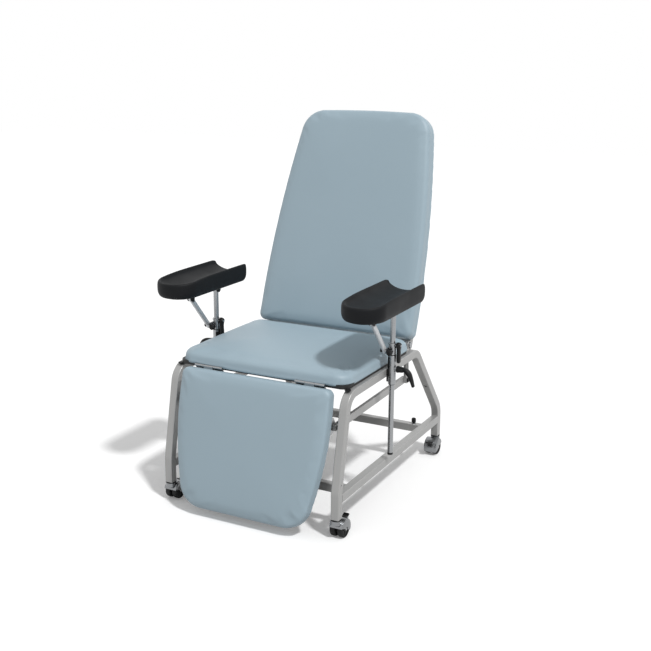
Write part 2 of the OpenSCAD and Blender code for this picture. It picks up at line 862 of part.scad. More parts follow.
module legrest_hinge_moving() {
    rear = leg_t + board_t + leaf_t / 2;
    elbow = leg_point(leg_top, rear);
    color(zinc) both_sides() {
        for (low = [leaf_near, leaf_far - knuckle_len]) difference() {
            across(low, low + knuckle_len) {
                translate(hinge) circle(d = barrel_d);
                bar2d(hinge, elbow, leaf_t);
            }
            cross_pin(hinge, hinge_pin_d + 2 * run_gap, low - over, low + knuckle_len + over);
        }
        across(leaf_near, leaf_far) bar2d(elbow, leg_point(leg_top + leaf_len, rear), leaf_t);
    }
}

// Backrest

module back_view() {
    translate([0, back_face_y, back_face_z]) rotate([90 - back_lean, 0, 0]) children();
}

function back_outline(inset = 0) =
    let (w = back_half_w - inset, v = back_top_half_w - inset)
    outline([[-w, -back_down + inset], [w, -back_down + inset], [v, back_up - inset],
        [-v, back_up - inset]], [back_corner_r, back_corner_r, back_top_r, back_top_r],
        [0, back_bow, back_top_bow, back_bow], side_steps = 7);

// A point of the side view from its distance up the backrest and behind its face
function back_point(up, behind) = [back_face_y, back_face_z]
    + up * [sin(back_lean), cos(back_lean)] + behind * [cos(back_lean), -sin(back_lean)];

// How far up the backrest the pivot lies
pivot_up = (pivot - [back_face_y, back_face_z]) * [sin(back_lean), cos(back_lean)];

module back_cushion() {
    color(vinyl) back_view() translate([0, 0, -back_t + rest_gap])
        cushion(back_outline(), back_t - rest_gap - back_crown / 3, back_crown,
            back_edge_r, back_base_in);
}

module back_board() {
    color(black) back_view() translate([0, 0, -back_t - board_t])
        linear_extrude(board_t) polygon(back_outline(back_board_in));
}

module back_frame() {
    lug = back_point(frame_low + frame_tube / 2, frame_t);
    lug_end = pivot + gas_end;
    color(steel_paint) {
        back_view() translate([0, 0, -frame_t]) {
            for (s = [-1, 1], run = [[frame_low + frame_tube, frame_second],
                    [frame_second + frame_tube, frame_high]])
                translate([s * frame_side_x, run[0], 0]) rotate([-90, 0, 0])
                    box_tube(frame_tube, frame_tube_corner, tube_wall, run[1] - run[0]);
            for (row = [[frame_low, crank_in], [frame_second, crank_in],
                    [frame_mid, frame_side_x - frame_tube / 2],
                    [frame_high - frame_tube, frame_side_x - frame_tube / 2]])
                translate([-row[1], row[0] + frame_tube / 2, 0]) rotate([0, 90, 0])
                    box_tube(frame_tube, frame_tube_corner, tube_wall, 2 * row[1]);
        }
        // The slot leaves room for the straight travel of the gas spring rod
        both_sides() difference() {
            across(gas_plate_in, gas_plate_out) difference() {
                bar2d(lug, lug_end, back_lug_w);
                translate(lug_end) rotate(heading(lug_end, pivot)) {
                    translate([0, -gas_pin_d / 2 - gas_slot_wide])
                        square([gas_slot_long, gas_pin_d + 2 * gas_slot_wide]);
                    circle(d = gas_pin_d + 2 * gas_slot_wide);
                    translate([gas_slot_long, 0]) circle(d = gas_pin_d + 2 * gas_slot_wide);
                }
            }
            back_view() translate([-over, frame_low, -frame_t - frame_tube / 2])
                cube([gas_plate_out + 2 * over, frame_tube, frame_tube]);
        }
    }
}

module back_cranks() {
    elbow = back_point(pivot_up, crank_elbow);
    color(zinc) both_sides() difference() {
        across(crank_in, crank_out) {
            bar2d(link_back, pivot, crank_w);
            bar2d(pivot, elbow, crank_w);
            bar2d(elbow, back_point(crank_top, crank_elbow), crank_w);
        }
        cross_pin(pivot, pivot_pin_d + 2 * run_gap, crank_in - over, crank_out + over);
        cross_pin(link_back, link_pin_d + 2 * run_gap, crank_in - over, crank_out + over);
    }
}

// Recline linkage

module link_bars() {
    color(steel_paint) both_sides() difference() {
        across(link_in, link_out) bar2d(link_back, link_front, link_h);
        cross_pin(link_back, link_pin_d + 2 * run_gap, link_in - over, link_out + over);
        cross_pin(link_front, link_pin_d + 2 * loose_gap, link_in - over, link_out + over);
    }
}

// A pin with a black domed cap on its outer end
module capped_pin(at, low, high) {
    cross_pin(at, link_pin_d, low, high + side_gap);
    translate([high + rest_gap, at[0], at[1]]) rotate([0, 90, 0])
        domed_cap(cap_d, cap_h, cap_h / 2);
}

module link_pins_front() {
    color(black) both_sides() capped_pin(link_front, leg_bracket_in, link_out);
}

module link_pins_back() {
    color(black) both_sides() capped_pin(link_back, link_in, crank_out);
}

module gas_spring_cylinder() {
    anchor = [gas_anchor_y, gas_z];
    color(black) {
        difference() {
            translate([0, gas_body_low, gas_z]) rotate([-90, 0, 0])
                cylinder(d = gas_d, h = gas_body_high - gas_body_low);
            translate([0, gas_bore_low, gas_z]) rotate([-90, 0, 0])
                cylinder(d = gas_rod_d + 2 * run_gap, h = gas_body_high - gas_bore_low + over);
        }
        across(-gas_eye_t / 2, gas_eye_t / 2) bar2d(anchor, [gas_body_low + gas_eye_r, gas_z],
            2 * gas_eye_r);
        cross_pin(anchor, gas_pin_d, -gas_plate_out, gas_plate_out);
    }
}

module gas_spring_rod() {
    tip = [gas_rod_y, gas_z];
    color(chrome) {
        translate([0, gas_rod_in, gas_z]) rotate([-90, 0, 0])
            cylinder(d = gas_rod_d, h = gas_rod_y - gas_rod_in - gas_eye_r / 2);
        across(-gas_eye_t / 2, gas_eye_t / 2) translate(tip) circle(gas_eye_r);
        cross_pin(tip, gas_pin_d, -gas_plate_out - side_gap, gas_plate_out + side_gap);
    }
}

// Armrests

module at_post(side) {
    translate([side * post_x, -post_front, 0]) children();
}

module upright(r, low, high) {
    translate([0, 0, low]) cylinder(r = r, h = high - low);
}

// The sleeve of the clamp is drawn with the rail on its -X side, and mirrored on the left
module arm_clamp(side) {
    rail_face = rail_out - post_x;
    color(zinc) at_post(side) on_side(side) difference() {
        union() {
            upright(sleeve_r, sleeve_low, sleeve_high);
            translate([rail_face, -clamp_w / 2, clamp_low])
                cube([-rail_face, clamp_w, clamp_high - clamp_low]);
            translate([0, 0, clamp_stud_z]) rotate([0, 90, 0])
                cylinder(d = clamp_boss_d, h = clamp_boss_out);
        }
        upright(sleeve_in_r, sleeve_low - over, sleeve_high + over);
        translate([0, 0, clamp_stud_z]) rotate([0, 90, 0])
            cylinder(d = clamp_stud_d + 2 * run_gap, h = clamp_boss_out + over);
    }
    color(black) at_post(side) on_side(side) difference() {
        union() {
            translate([rail_face, -clamp_w / 2, liner_low])
                cube([-rail_face / 2, clamp_w, rail_top - liner_low]);
            difference() {
                upright(liner_r, liner_low, liner_high);
                translate([-liner_r * liner_cut_share, -liner_r - over, liner_low - over])
                    cube([2 * liner_r, 2 * liner_r + 2 * over, liner_high - liner_low + 2 * over]);
            }
        }
        upright(sleeve_r + run_gap, liner_low - over, liner_high + over);
    }
}

module clamp_lever(side) {
    path = [[clamp_hub_out - clamp_arm_r, clamp_arm_bend[1]], clamp_arm_bend, clamp_arm_end];
    color(black) at_post(side) on_side(side) translate([0, 0, clamp_stud_z]) {
        translate([bush_r + 2 * run_gap, 0, 0]) rotate([0, 90, 0])
            cylinder(d = clamp_stud_d, h = clamp_hub_out - bush_r);
        translate([clamp_boss_out + rest_gap, 0, 0]) rotate([0, 90, 0])
            cylinder(d = clamp_hub_d, h = clamp_hub_out - clamp_boss_out);
        rotate([90, 0, 0]) {
            bent_path(path, [0, clamp_arm_bend_r, 0]) {
                circle(clamp_arm_r);
                circle(clamp_arm_r + bend_swell);
            }
        }
        translate([clamp_arm_end[0], 0, clamp_arm_end[1]]) sphere(clamp_arm_r + clamp_tip_swell);
    }
}

module arm_bush(side) {
    color(black) at_post(side) difference() {
        union() {
            upright(bush_r, sleeve_low - bush_flange_t, sleeve_high + rest_gap);
            upright(sleeve_r, sleeve_high + rest_gap, sleeve_high + bush_flange_t);
        }
        upright(post_d / 2 + run_gap, sleeve_low - bush_flange_t - over,
            sleeve_high + bush_flange_t + over);
    }
}

module arm_post(side) {
    color(zinc) at_post(side) difference() {
        upright(post_d / 2, post_low_z + post_cap_t, tilt_z + post_top);
        upright(post_d / 2 - post_wall, post_low_z, tilt_z + post_top + over);
        cross_pin([0, tilt_z], strut_pin_d + 2 * run_gap, -post_d, post_d);
    }
    color(black) at_post(side) {
        upright(post_d / 2, post_low_z, post_low_z + post_cap_t);
        upright(post_d / 2 - post_wall, post_low_z, post_low_z + post_cap_t + post_cap_plug);
    }
}

module arm_collar(side) {
    color(zinc) at_post(side) difference() {
        union() {
            upright(collar_r, collar_low, collar_high);
            upright(collar_flange_r, collar_high, collar_high + collar_flange_t);
            across(lug_plate_x - lug_plate_t / 2, lug_plate_x + lug_plate_t / 2)
                bar2d(strut_low, [0, strut_low[1]], 2 * eye_r);
            cross_pin([0, tilt_lever_z], tilt_hub_r, 0, collar_r + over);
        }
        upright(collar_in_r, collar_low - over, collar_high + collar_flange_t + over);
        cross_pin(strut_low, strut_pin_d, lug_plate_x - lug_plate_t,
            lug_plate_x + lug_plate_t);
        cross_pin([0, tilt_lever_z], tilt_stud_d + 2 * run_gap, 0, collar_r + 2 * over);
        translate([front_knob_x, 0, front_knob_z]) rotate([90, 0, 0])
            cylinder(d = tilt_stud_d + 2 * run_gap, h = collar_r + over);
    }
    color(black) at_post(side) {
        low = eye_x - eye_w / 2 - rest_gap;
        cross_pin(strut_low, strut_pin_d, low, lug_plate_x + lug_plate_t / 2);
        translate([low, strut_low[0], strut_low[1]]) rotate([0, -90, 0])
            domed_cap(strut_cap_d, strut_cap_out, strut_cap_out / 2);
    }
}

module collar_knob(side) {
    near = collar_r - collar_wall / 2;
    color(black) at_post(side) translate([front_knob_x, 0, front_knob_z]) rotate([90, 0, 0]) {
        translate([0, 0, near]) cylinder(d = tilt_stud_d, h = front_knob_near - near);
        translate([0, 0, front_knob_near])
            domed_cap(front_knob_d, front_knob_far - front_knob_near, knob_dome / 2);
    }
}

// The strut has an eye at each end; the upper one is wide enough to leave its pivot open
module arm_strut(side) {
    color(zinc) at_post(side) translate([eye_x, strut_low[0], strut_low[1]])
        rotate([-strut_angle, 0, 0]) difference() {
            union() {
                for (z = [0, strut_len]) translate([-eye_w / 2, 0, z]) rotate([0, 90, 0])
                    cylinder(r = eye_r, h = eye_w);
                translate([-eye_w / 2, -eye_w, 0]) cube([eye_w, 2 * eye_w, strut_len]);
                upright(strut_d / 2, strut_neck, strut_len - strut_neck);
            }
            translate([-eye_w, 0, 0]) rotate([0, 90, 0])
                cylinder(d = strut_pin_d + 2 * run_gap, h = 2 * eye_w);
            translate([-eye_w, 0, strut_len]) rotate([0, 90, 0])
                cylinder(d = strut_pin_d + 2 * open_pivot_gap, h = 2 * eye_w);
        }
}

module tilt_lever(side) {
    color(black) at_post(side) {
        cross_pin([0, tilt_lever_z], tilt_stud_d, collar_in_r + 2 * run_gap, tilt_lever_x);
        translate([tilt_lever_x + rest_gap, 0, tilt_lever_z]) difference() {
            sphere(tilt_hub_r);
            translate([-tilt_hub_r - tilt_arm_r, -tilt_hub_r, -tilt_hub_r])
                cube([tilt_hub_r, 2 * tilt_hub_r, 2 * tilt_hub_r]);
        }
        translate([tilt_lever_x + rest_gap, 0, 0])
            upright(tilt_arm_r, tilt_lever_z - tilt_arm_len + tilt_arm_r, tilt_lever_z);
        translate([tilt_lever_x + rest_gap, 0, tilt_lever_z - tilt_arm_len + tilt_arm_r])
            sphere(tilt_arm_r);
    }
}

// The plate under the pad has a pair of cheeks at the tilt hinge and one at the strut
module arm_plate(side) {
    half = pad_w / 2 - plate_in;
    low = -(pad_len - pad_behind) + plate_in;
    rear = pad_behind - plate_in;
    color(black) at_post(side) {
        translate([0, 0, plate_low]) linear_extrude(plate_t) {
            translate([-half, low + half]) square([2 * half, rear - low - half]);
            translate([0, low + half]) circle(half);
        }
        for (s = [-1, 1]) {
            cheek_pair([0, tilt_z], s * (post_d / 2 + side_gap + cheek_t / 2));
            cheek_pair(strut_high, eye_x + s * (eye_w / 2 + side_gap + cheek_t / 2));
        }
        cross_pin([0, tilt_z], strut_pin_d, -post_d / 2 - side_gap, post_d / 2 + side_gap);
        cross_pin(strut_high, strut_pin_d, eye_x - eye_w / 2 - side_gap,
            eye_x + eye_w / 2 + side_gap);
    }
}

module cheek_pair(at, x) {
    across(x - cheek_t / 2, x + cheek_t / 2) {
        translate(at) circle(cheek_r);
        translate(at - [cheek_r, 0]) square([2 * cheek_r, plate_low - at[1]]);
    }
}

// The trough: its rim falls to the floor at the open back end and dips at the front tip
module arm_pad(side) {
    half = pad_w / 2;
    front = -(pad_len - pad_behind);
    front_r = half - pad_front_flat;
    points = outline([[-half, front], [half, front], [half, pad_behind], [-half, pad_behind]],
        [front_r, front_r, pad_back_r, pad_back_r], [0, 0, 0, 0], arc_steps = 9, side_steps = 5);
    mid = middle(points);
    size = half_size(points);
    rise = pad_h - pad_floor_t;
    rim = [for (p = points) pad_floor_t
        + (p[1] > pad_behind - over && abs(p[0]) < half - pad_rim_w ? 0
        : rise - pad_tip_drop * pow(max(0, (mid[1] - p[1]) / size[1]), 2))];
    spots = [0:len(points) - 1];
    side_rings = [for (k = [0:len(pad_side_in_shares) - 1]) [for (i = spots)
        let (q = drawn_in(points[i], mid, size, pad_rim_w * pad_side_in_shares[k]))
        [q[0], q[1], pad_side_up_shares[k] * rim[i]]]];
    trough_rings = [for (k = [0:len(trough_in_shares) - 1]) [for (i = spots)
        let (q = drawn_in(points[i], mid, size, pad_rim_w * trough_in_shares[k]))
        [q[0], q[1], pad_floor_t + trough_up_shares[k] * (rim[i] - pad_floor_t)]]];
    color(black) at_post(side) translate([0, 0, pad_low])
        ring_skin(concat(side_rings, trough_rings), [mid[0], mid[1], 0],
            [mid[0], mid[1], pad_floor_t]);
}

// Casters

module hood_side() {
    difference() {
        translate([caster_trail, axle_z]) circle(hood_r);
        translate([caster_trail, axle_z]) rotate(-hood_tilt)
            translate([-2 * hood_r, -2 * hood_r]) square([4 * hood_r, 2 * hood_r]);
    }
}

module caster_hood(x, y, turn) {
    pedal_at = [caster_trail, axle_z] + pedal_out * [cos(pedal_angle), sin(pedal_angle)];
    color(chrome) translate([x, y, 0]) rotate(turn) {
        difference() {
            union() {
                across(-hood_w / 2, hood_w / 2) hood_side();
                upright(boss_d / 2, boss_low, boss_top);
                for (s = [-1, 1])
                    translate([s * (pedal_w / 2 + rest_gap + lug_t / 2), 0, 0])
                        across(-lug_t / 2, lug_t / 2)
                            bar2d(pedal_at, [caster_trail, axle_z] + (hood_r - lug_d / 2)
                                * [cos(pedal_angle), sin(pedal_angle)], lug_d);
            }
            for (low = [web_t / 2, -hood_w / 2 - over])
                cross_pin([caster_trail, axle_z], wheel_d + 2 * hood_gap, low,
                    low + hood_w / 2 - web_t / 2 + over);
            cross_pin(pedal_at, pedal_pin_d + 2 * run_gap, -pedal_w, pedal_w);
            cross_pin([caster_trail, axle_z], axle_d + 2 * run_gap, -hood_w, hood_w);
        }
        difference() {
            across(-web_t / 2, web_t / 2)
                bar2d([caster_trail, axle_z], [0, boss_low], boss_d / 2);
            cross_pin([caster_trail, axle_z], axle_d + 2 * run_gap, -hood_w, hood_w);
        }
        upright(stem_d / 2, boss_low, boss_top + stem_up);
    }
}

module caster_wheels(x, y, turn) {
    color(black) translate([x, y, 0]) rotate(turn) translate([0, caster_trail, axle_z]) {
        for (s = [-1, 1]) rotate([0, s * 90, 0]) translate([0, 0, web_t / 2 + web_gap])
            rotate_extrude() {
                square([wheel_d / 2 - tread_round, wheel_w]);
                translate([0, tread_round]) square([wheel_d / 2, wheel_w - 2 * tread_round]);
                for (z = [tread_round, wheel_w - tread_round])
                    translate([wheel_d / 2 - tread_round, z]) circle(tread_round);
            }
        rotate([0, 90, 0]) cylinder(d = axle_d, h = web_t + 2 * (web_gap + over), center = true);
    }
}

module brake_pedal(x, y, turn) {
    at = [caster_trail, axle_z] + pedal_out * [cos(pedal_angle), sin(pedal_angle)];
    color(black) translate([x, y, 0]) rotate(turn) {
        cross_pin(at, pedal_barrel_d, -pedal_w / 2, pedal_w / 2);
        cross_pin(at, pedal_pin_d, -pedal_w / 2 - rest_gap - lug_t, pedal_w / 2 + rest_gap + lug_t);
        across(-pedal_w / 2, pedal_w / 2) bar2d(at, at + [pedal_len, 0], pedal_t);
    }
}

side_frame(-1);  // side_frame_left
side_frame(1);  // side_frame_right
lower_rail(-1);  // lower_rail_left
lower_rail(1);  // lower_rail_right
front_cross_tube();
rear_cross_tube();
cross_tube_knob(-1);  // cross_tube_knob_left
cross_tube_knob(1);  // cross_tube_knob_right
back_pivot_pins();
seat_crossbar();
leg_inserts();
seat_board();
seat_cushion();
seat_stops();
legrest_hinge_fixed();
legrest_hinge_moving();
legrest_board();
legrest_cushion();
legrest_brackets();
back_cushion();
back_board();
back_frame();
back_cranks();
link_bars();
link_pins_front();
link_pins_back();
gas_spring_cylinder();
gas_spring_rod();
arm_clamp(-1);  // arm_clamp_left
arm_clamp(1);  // arm_clamp_right
clamp_lever(-1);  // clamp_lever_left
clamp_lever(1);  // clamp_lever_right
arm_bush(-1);  // arm_bush_left
arm_bush(1);  // arm_bush_right
arm_post(-1);  // arm_post_left
arm_post(1);  // arm_post_right
arm_collar(-1);  // arm_collar_left
arm_collar(1);  // arm_collar_right
collar_knob(-1);  // collar_knob_left
collar_knob(1);  // collar_knob_right
arm_strut(-1);  // arm_strut_left
arm_strut(1);  // arm_strut_right
tilt_lever(-1);  // tilt_lever_left
tilt_lever(1);  // tilt_lever_right
arm_plate(-1);  // arm_plate_left
arm_plate(1);  // arm_plate_right
arm_pad(-1);  // arm_pad_left
arm_pad(1);  // arm_pad_right
caster_hood(-half_track, -stem_y, front_turn);  // caster_hood_front_left
caster_hood(half_track, -stem_y, front_turn);  // caster_hood_front_right
caster_hood(-half_track, stem_y, back_turn);  // caster_hood_back_left
caster_hood(half_track, stem_y, back_turn);  // caster_hood_back_right
caster_wheels(-half_track, -stem_y, front_turn);  // caster_wheels_front_left
caster_wheels(half_track, -stem_y, front_turn);  // caster_wheels_front_right
caster_wheels(-half_track, stem_y, back_turn);  // caster_wheels_back_left
caster_wheels(half_track, stem_y, back_turn);  // caster_wheels_back_right
brake_pedal(-half_track, -stem_y, front_turn);  // brake_pedal_front_left
brake_pedal(half_track, -stem_y, front_turn);  // brake_pedal_front_right
brake_pedal(-half_track, stem_y, back_turn);  // brake_pedal_back_left
brake_pedal(half_track, stem_y, back_turn);  // brake_pedal_back_right
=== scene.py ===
"""A phlebotomy chair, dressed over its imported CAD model.

The rigid solids come from the frame and keep their shapes. This script gives them their
finishes, builds the vinyl cushions and the foam armrest pads, and adds the fittings that
ride on the same bodies. Lengths in the classes are millimetres, in the frame's own axes.
"""

import json
import logging
import math
from dataclasses import dataclass, field
from enum import Enum
from typing import Callable, Sequence

import bmesh
import bpy
from mathutils import Matrix, Vector

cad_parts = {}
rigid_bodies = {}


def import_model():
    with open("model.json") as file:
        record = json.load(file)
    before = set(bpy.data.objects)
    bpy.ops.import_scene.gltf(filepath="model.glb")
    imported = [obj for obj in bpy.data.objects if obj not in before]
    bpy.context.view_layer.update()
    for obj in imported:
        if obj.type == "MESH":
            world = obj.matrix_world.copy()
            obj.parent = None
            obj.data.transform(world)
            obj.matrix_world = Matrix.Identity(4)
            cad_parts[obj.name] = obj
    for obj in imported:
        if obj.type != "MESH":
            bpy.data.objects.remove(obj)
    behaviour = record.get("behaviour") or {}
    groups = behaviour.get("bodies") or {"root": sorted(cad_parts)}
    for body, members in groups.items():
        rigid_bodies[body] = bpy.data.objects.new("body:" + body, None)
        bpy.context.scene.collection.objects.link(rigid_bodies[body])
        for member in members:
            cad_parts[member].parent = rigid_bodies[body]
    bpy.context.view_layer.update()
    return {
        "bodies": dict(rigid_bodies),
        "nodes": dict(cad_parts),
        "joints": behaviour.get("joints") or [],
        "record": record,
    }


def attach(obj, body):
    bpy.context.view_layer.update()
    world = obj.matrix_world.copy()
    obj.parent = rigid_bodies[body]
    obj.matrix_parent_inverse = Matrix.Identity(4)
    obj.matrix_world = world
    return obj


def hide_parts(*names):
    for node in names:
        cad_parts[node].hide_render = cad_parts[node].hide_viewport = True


MM = 0.001
LOG = logging.getLogger("phlebotomy_chair")


def linear(hex_colour: str) -> tuple[float, float, float, float]:
    """Turns an sRGB hex colour to linear light.

    Args:
        hex_colour: the colour as #RRGGBB.

    Returns:
        Red, green, blue and an alpha of 1.
    """
    shares = [int(hex_colour[i:i + 2], 16) / 255 for i in (1, 3, 5)]
    red, green, blue = (((c + 0.055) / 1.055) ** 2.4 if c > 0.04045 else c / 12.92
                        for c in shares)
    return red, green, blue, 1.0


def add_node(tree: bpy.types.NodeTree, kind: str, sockets: dict | None = None,
             **settings: object) -> bpy.types.Node:
    """Adds one node to a tree, with its settings and links.

    Args:
        tree: the node tree that it joins.
        kind: the node's Blender type.
        sockets: a value, or an output to link, for each input by name or index.
        settings: the node's own properties.

    Returns:
        The new node.
    """
    node = tree.nodes.new(kind)
    for name, value in settings.items():
        setattr(node, name, value)
    for name, value in (sockets or {}).items():
        if isinstance(value, bpy.types.NodeSocket):
            tree.links.new(value, node.inputs[name])
        else:
            node.inputs[name].default_value = value
    return node


class Pattern(Enum):
    """How the surface of a finish was made."""

    EMBOSSED = "leather grain rolled into vinyl"
    MOULDED = "fine spark-eroded mould texture"
    POWDER = "orange peel of baked powder paint"
    DRAWN = "lines along a drawn or brushed tube"
    STAINED = "wood grain under a black stain"


@dataclass(frozen=True)
class Finish:
    """A real material and what its making gives the eye."""

    name: str
    colour: str
    worn: str
    pattern: Pattern
    grain_mm: float
    depth_mm: float
    roughness: tuple[float, float]
    metallic: float = 0.0
    ior: float = 1.5
    coat: float = 0.0
    coat_roughness: float = 0.1
    sheen: float = 0.0
    edge_mm: float = 0.5
    wear: float = 0.3
    patch_mm: float = 70.0

    def height(self, tree: bpy.types.NodeTree, where: bpy.types.NodeSocket
               ) -> bpy.types.NodeSocket:
        """Draws the relief of the surface.

        Args:
            tree: the material's node tree.
            where: the object's own coordinates, in metres.

        Returns:
            The output that holds the height, from 0 to 1.
        """
        scale = 1 / (self.grain_mm * MM)
        if self.pattern is Pattern.EMBOSSED:
            cells = add_node(tree, "ShaderNodeTexVoronoi", {"Vector": where, "Scale": scale},
                             feature="DISTANCE_TO_EDGE")
            return add_node(tree, "ShaderNodeMapRange",
                            {"Value": cells.outputs["Distance"], "From Max": 0.16},
                            interpolation_type="SMOOTHSTEP").outputs["Result"]
        if self.pattern in (Pattern.DRAWN, Pattern.STAINED):
            along = (1, 1, 0.02) if self.pattern is Pattern.DRAWN else (0.04, 1, 1)
            where = add_node(tree, "ShaderNodeMapping", {"Vector": where, "Scale": along}
                             ).outputs["Vector"]
        detail = 2 if self.pattern is Pattern.POWDER else 5
        return add_node(tree, "ShaderNodeTexNoise",
                        {"Vector": where, "Scale": scale, "Detail": detail}).outputs["Fac"]

    def make(self) -> bpy.types.Material:
        """Builds the material's nodes.

        Returns:
            The material.
        """
        material = bpy.data.materials.new(self.name)
        material.use_nodes = True
        material.diffuse_color = linear(self.colour)
        tree = material.node_tree
        shader = tree.nodes["Principled BSDF"]
        where = add_node(tree, "ShaderNodeTexCoord").outputs["Object"]
        patches = add_node(tree, "ShaderNodeTexNoise", {
            "Vector": where, "Scale": 1 / (self.patch_mm * MM), "Detail": 4})
        rounded = add_node(tree, "ShaderNodeBevel", {"Radius": self.edge_mm * MM}, samples=4)
        flat = add_node(tree, "ShaderNodeNewGeometry")
        along = add_node(tree, "ShaderNodeVectorMath", {
            0: rounded.outputs["Normal"], 1: flat.outputs["Normal"]}, operation="DOT_PRODUCT")
        # Edges rub bare first: where the rounded normal leaves the flat one, in patches
        edge = add_node(tree, "ShaderNodeMapRange", {
            "Value": along.outputs["Value"], "From Min": 0.995, "From Max": 0.9,
            "To Max": self.wear})
        rubbed = add_node(tree, "ShaderNodeMath", {
            0: edge.outputs["Result"], 1: patches.outputs["Fac"]}, operation="MULTIPLY")
        soft = add_node(tree, "ShaderNodeMapRange", {
            "Value": patches.outputs["Fac"], "From Min": 0.35, "From Max": 0.75,
            "To Max": 0.12})
        share = add_node(tree, "ShaderNodeMath", {
            0: rubbed.outputs["Value"], 1: soft.outputs["Result"]}, operation="ADD",
            use_clamp=True)
        tint = add_node(tree, "ShaderNodeMix", {
            "Factor": share.outputs["Value"], "A": linear(self.colour),
            "B": linear(self.worn)}, data_type="RGBA")
        gloss = add_node(tree, "ShaderNodeMapRange", {
            "Value": patches.outputs["Fac"], "From Min": 0.3, "From Max": 0.7,
            "To Min": self.roughness[0], "To Max": self.roughness[1]})
        relief = add_node(tree, "ShaderNodeBump", {
            "Strength": 1.0, "Distance": self.depth_mm * MM,
            "Height": self.height(tree, where), "Normal": rounded.outputs["Normal"]})
        tree.links.new(tint.outputs["Result"], shader.inputs["Base Color"])
        tree.links.new(gloss.outputs["Result"], shader.inputs["Roughness"])
        tree.links.new(relief.outputs["Normal"], shader.inputs["Normal"])
        shader.inputs["Metallic"].default_value = self.metallic
        shader.inputs["IOR"].default_value = self.ior
        shader.inputs["Coat Weight"].default_value = self.coat
        shader.inputs["Coat Roughness"].default_value = self.coat_roughness
        shader.inputs["Sheen Weight"].default_value = self.sheen
        return material


# Polyurethane-coated vinyl fabric: a satin skin with a shallow embossed leather grain. The
# real grain is 0.8 mm across and is drawn at 1.6 mm, so that it shows
VINYL = Finish("coated_vinyl_fabric", "#9CB0BB", "#AABCC6", Pattern.EMBOSSED, 1.6, 0.035,
               (0.42, 0.52), sheen=0.08, wear=0.0, edge_mm=1.0, patch_mm=160)
# Integral-skin polyurethane foam: moulded black with a soft gloss and a fine mould texture
SKIN_FOAM = Finish("integral_skin_foam", "#0D0F12", "#17191C", Pattern.MOULDED, 0.9, 0.03,
                   (0.5, 0.6), wear=0.0, edge_mm=1.0, ior=1.28)
# Silver-grey epoxy powder paint, baked on steel tube: fine orange peel, satin gloss
POWDER_PAINT = Finish("silver_powder_paint", "#A8A8A7", "#BFBFBD", Pattern.POWDER, 1.3, 0.02,
                      (0.32, 0.42), metallic=0.35, edge_mm=0.8)
# Bright zinc on turned and folded steel: drawn lines and a slightly milky shine
BRIGHT_ZINC = Finish("bright_zinc_on_steel", "#A2A4A6", "#888A8C", Pattern.DRAWN, 0.6, 0.006,
                     (0.2, 0.32), metallic=1.0)
# Brushed aluminium of the flat struts: long brush lines and a pale, even shine
BRUSHED_ALUMINIUM = Finish("brushed_aluminium_bar", "#DADCDE", "#C2C4C6", Pattern.DRAWN, 0.8,
                           0.01, (0.42, 0.54), metallic=0.7)
# Hard chrome on a ground rod: a mirror with faint grinding lines
HARD_CHROME = Finish("hard_chrome_rod", "#DCDEE0", "#C4C6C8", Pattern.DRAWN, 0.3, 0.002,
                     (0.06, 0.12), metallic=1.0)
# Satin nickel plate on the pressed caster hoods
NICKEL = Finish("satin_nickel_plate", "#8F9193", "#74767A", Pattern.POWDER, 0.8, 0.006,
                (0.18, 0.3), metallic=1.0, edge_mm=0.8)
# Glass-filled nylon, injection moulded: dull black with a fine sparked texture
NYLON = Finish("glass_filled_nylon", "#0B0C0D", "#1D1F20", Pattern.MOULDED, 0.5, 0.02,
               (0.38, 0.5), wear=0.25, ior=1.36)
# Thermoplastic rubber of the wheel treads and seat stops: dull, dusty where it rolls
TREAD_RUBBER = Finish("thermoplastic_rubber", "#0D0E0F", "#222324", Pattern.MOULDED, 0.7,
                      0.03, (0.55, 0.75), wear=0.5, ior=1.4)
# Birch plywood, stained black and sealed
BLACK_PLYWOOD = Finish("black_stained_plywood", "#0E0F10", "#1B1A19", Pattern.STAINED, 1.2,
                       0.04, (0.42, 0.58), wear=0.4)
# Black enamel baked on the gas spring's drawn tube
BLACK_ENAMEL = Finish("black_baked_enamel", "#191A1B", "#2E2F30", Pattern.POWDER, 1.0, 0.01,
                      (0.2, 0.3), coat=0.3)

FINISH_OF_SLOT = {
    "upholstery": VINYL, "armrest_foam": SKIN_FOAM, "painted_board": BLACK_PLYWOOD,
    "frame_paint": POWDER_PAINT, "black_plastic": NYLON, "stop_rubber": TREAD_RUBBER,
    "caster_tread": TREAD_RUBBER, "caster_hood_metal": NICKEL, "bright_steel": BRIGHT_ZINC,
    "zinc_plate": BRIGHT_ZINC, "pin_black": NYLON, "gas_cylinder_paint": BLACK_ENAMEL,
    "rod_chrome": HARD_CHROME,
}


class Shop:
    """Makes each finish once and hands it out."""

    def __init__(self) -> None:
        """Starts with no material made."""
        self.made: dict[str, bpy.types.Material] = {}

    def get(self, finish: Finish) -> bpy.types.Material:
        """Gives the material of a finish, made at its first use."""
        if finish.name not in self.made:
            self.made[finish.name] = finish.make()
        return self.made[finish.name]

    def dress_solids(self, frame: dict) -> None:
        """Gives every CAD node the finish of its slot.
        """
        for row in frame["record"]["subparts"]:
            solid = frame["nodes"][row["node"]]
            material = self.get(FINISH_OF_SLOT[row["material_slot"]])
            solid.data.materials.clear()
            solid.data.materials.append(material)

    def second_finish(self, solid: bpy.types.Object, finish: Finish,
                      chosen: Callable[[Vector], bool]) -> None:
        """Gives some faces of a CAD node another finish.

        Args:
            solid: the node's object.
            finish: the other finish.
            chosen: tells from a face's middle, in millimetres, whether it has that finish.
        """
        solid.data.materials.append(self.get(finish))
        for face in solid.data.polygons:
            if chosen(face.center / MM):
                face.material_index = 1


# Plane outlines

Point = tuple[float, float]


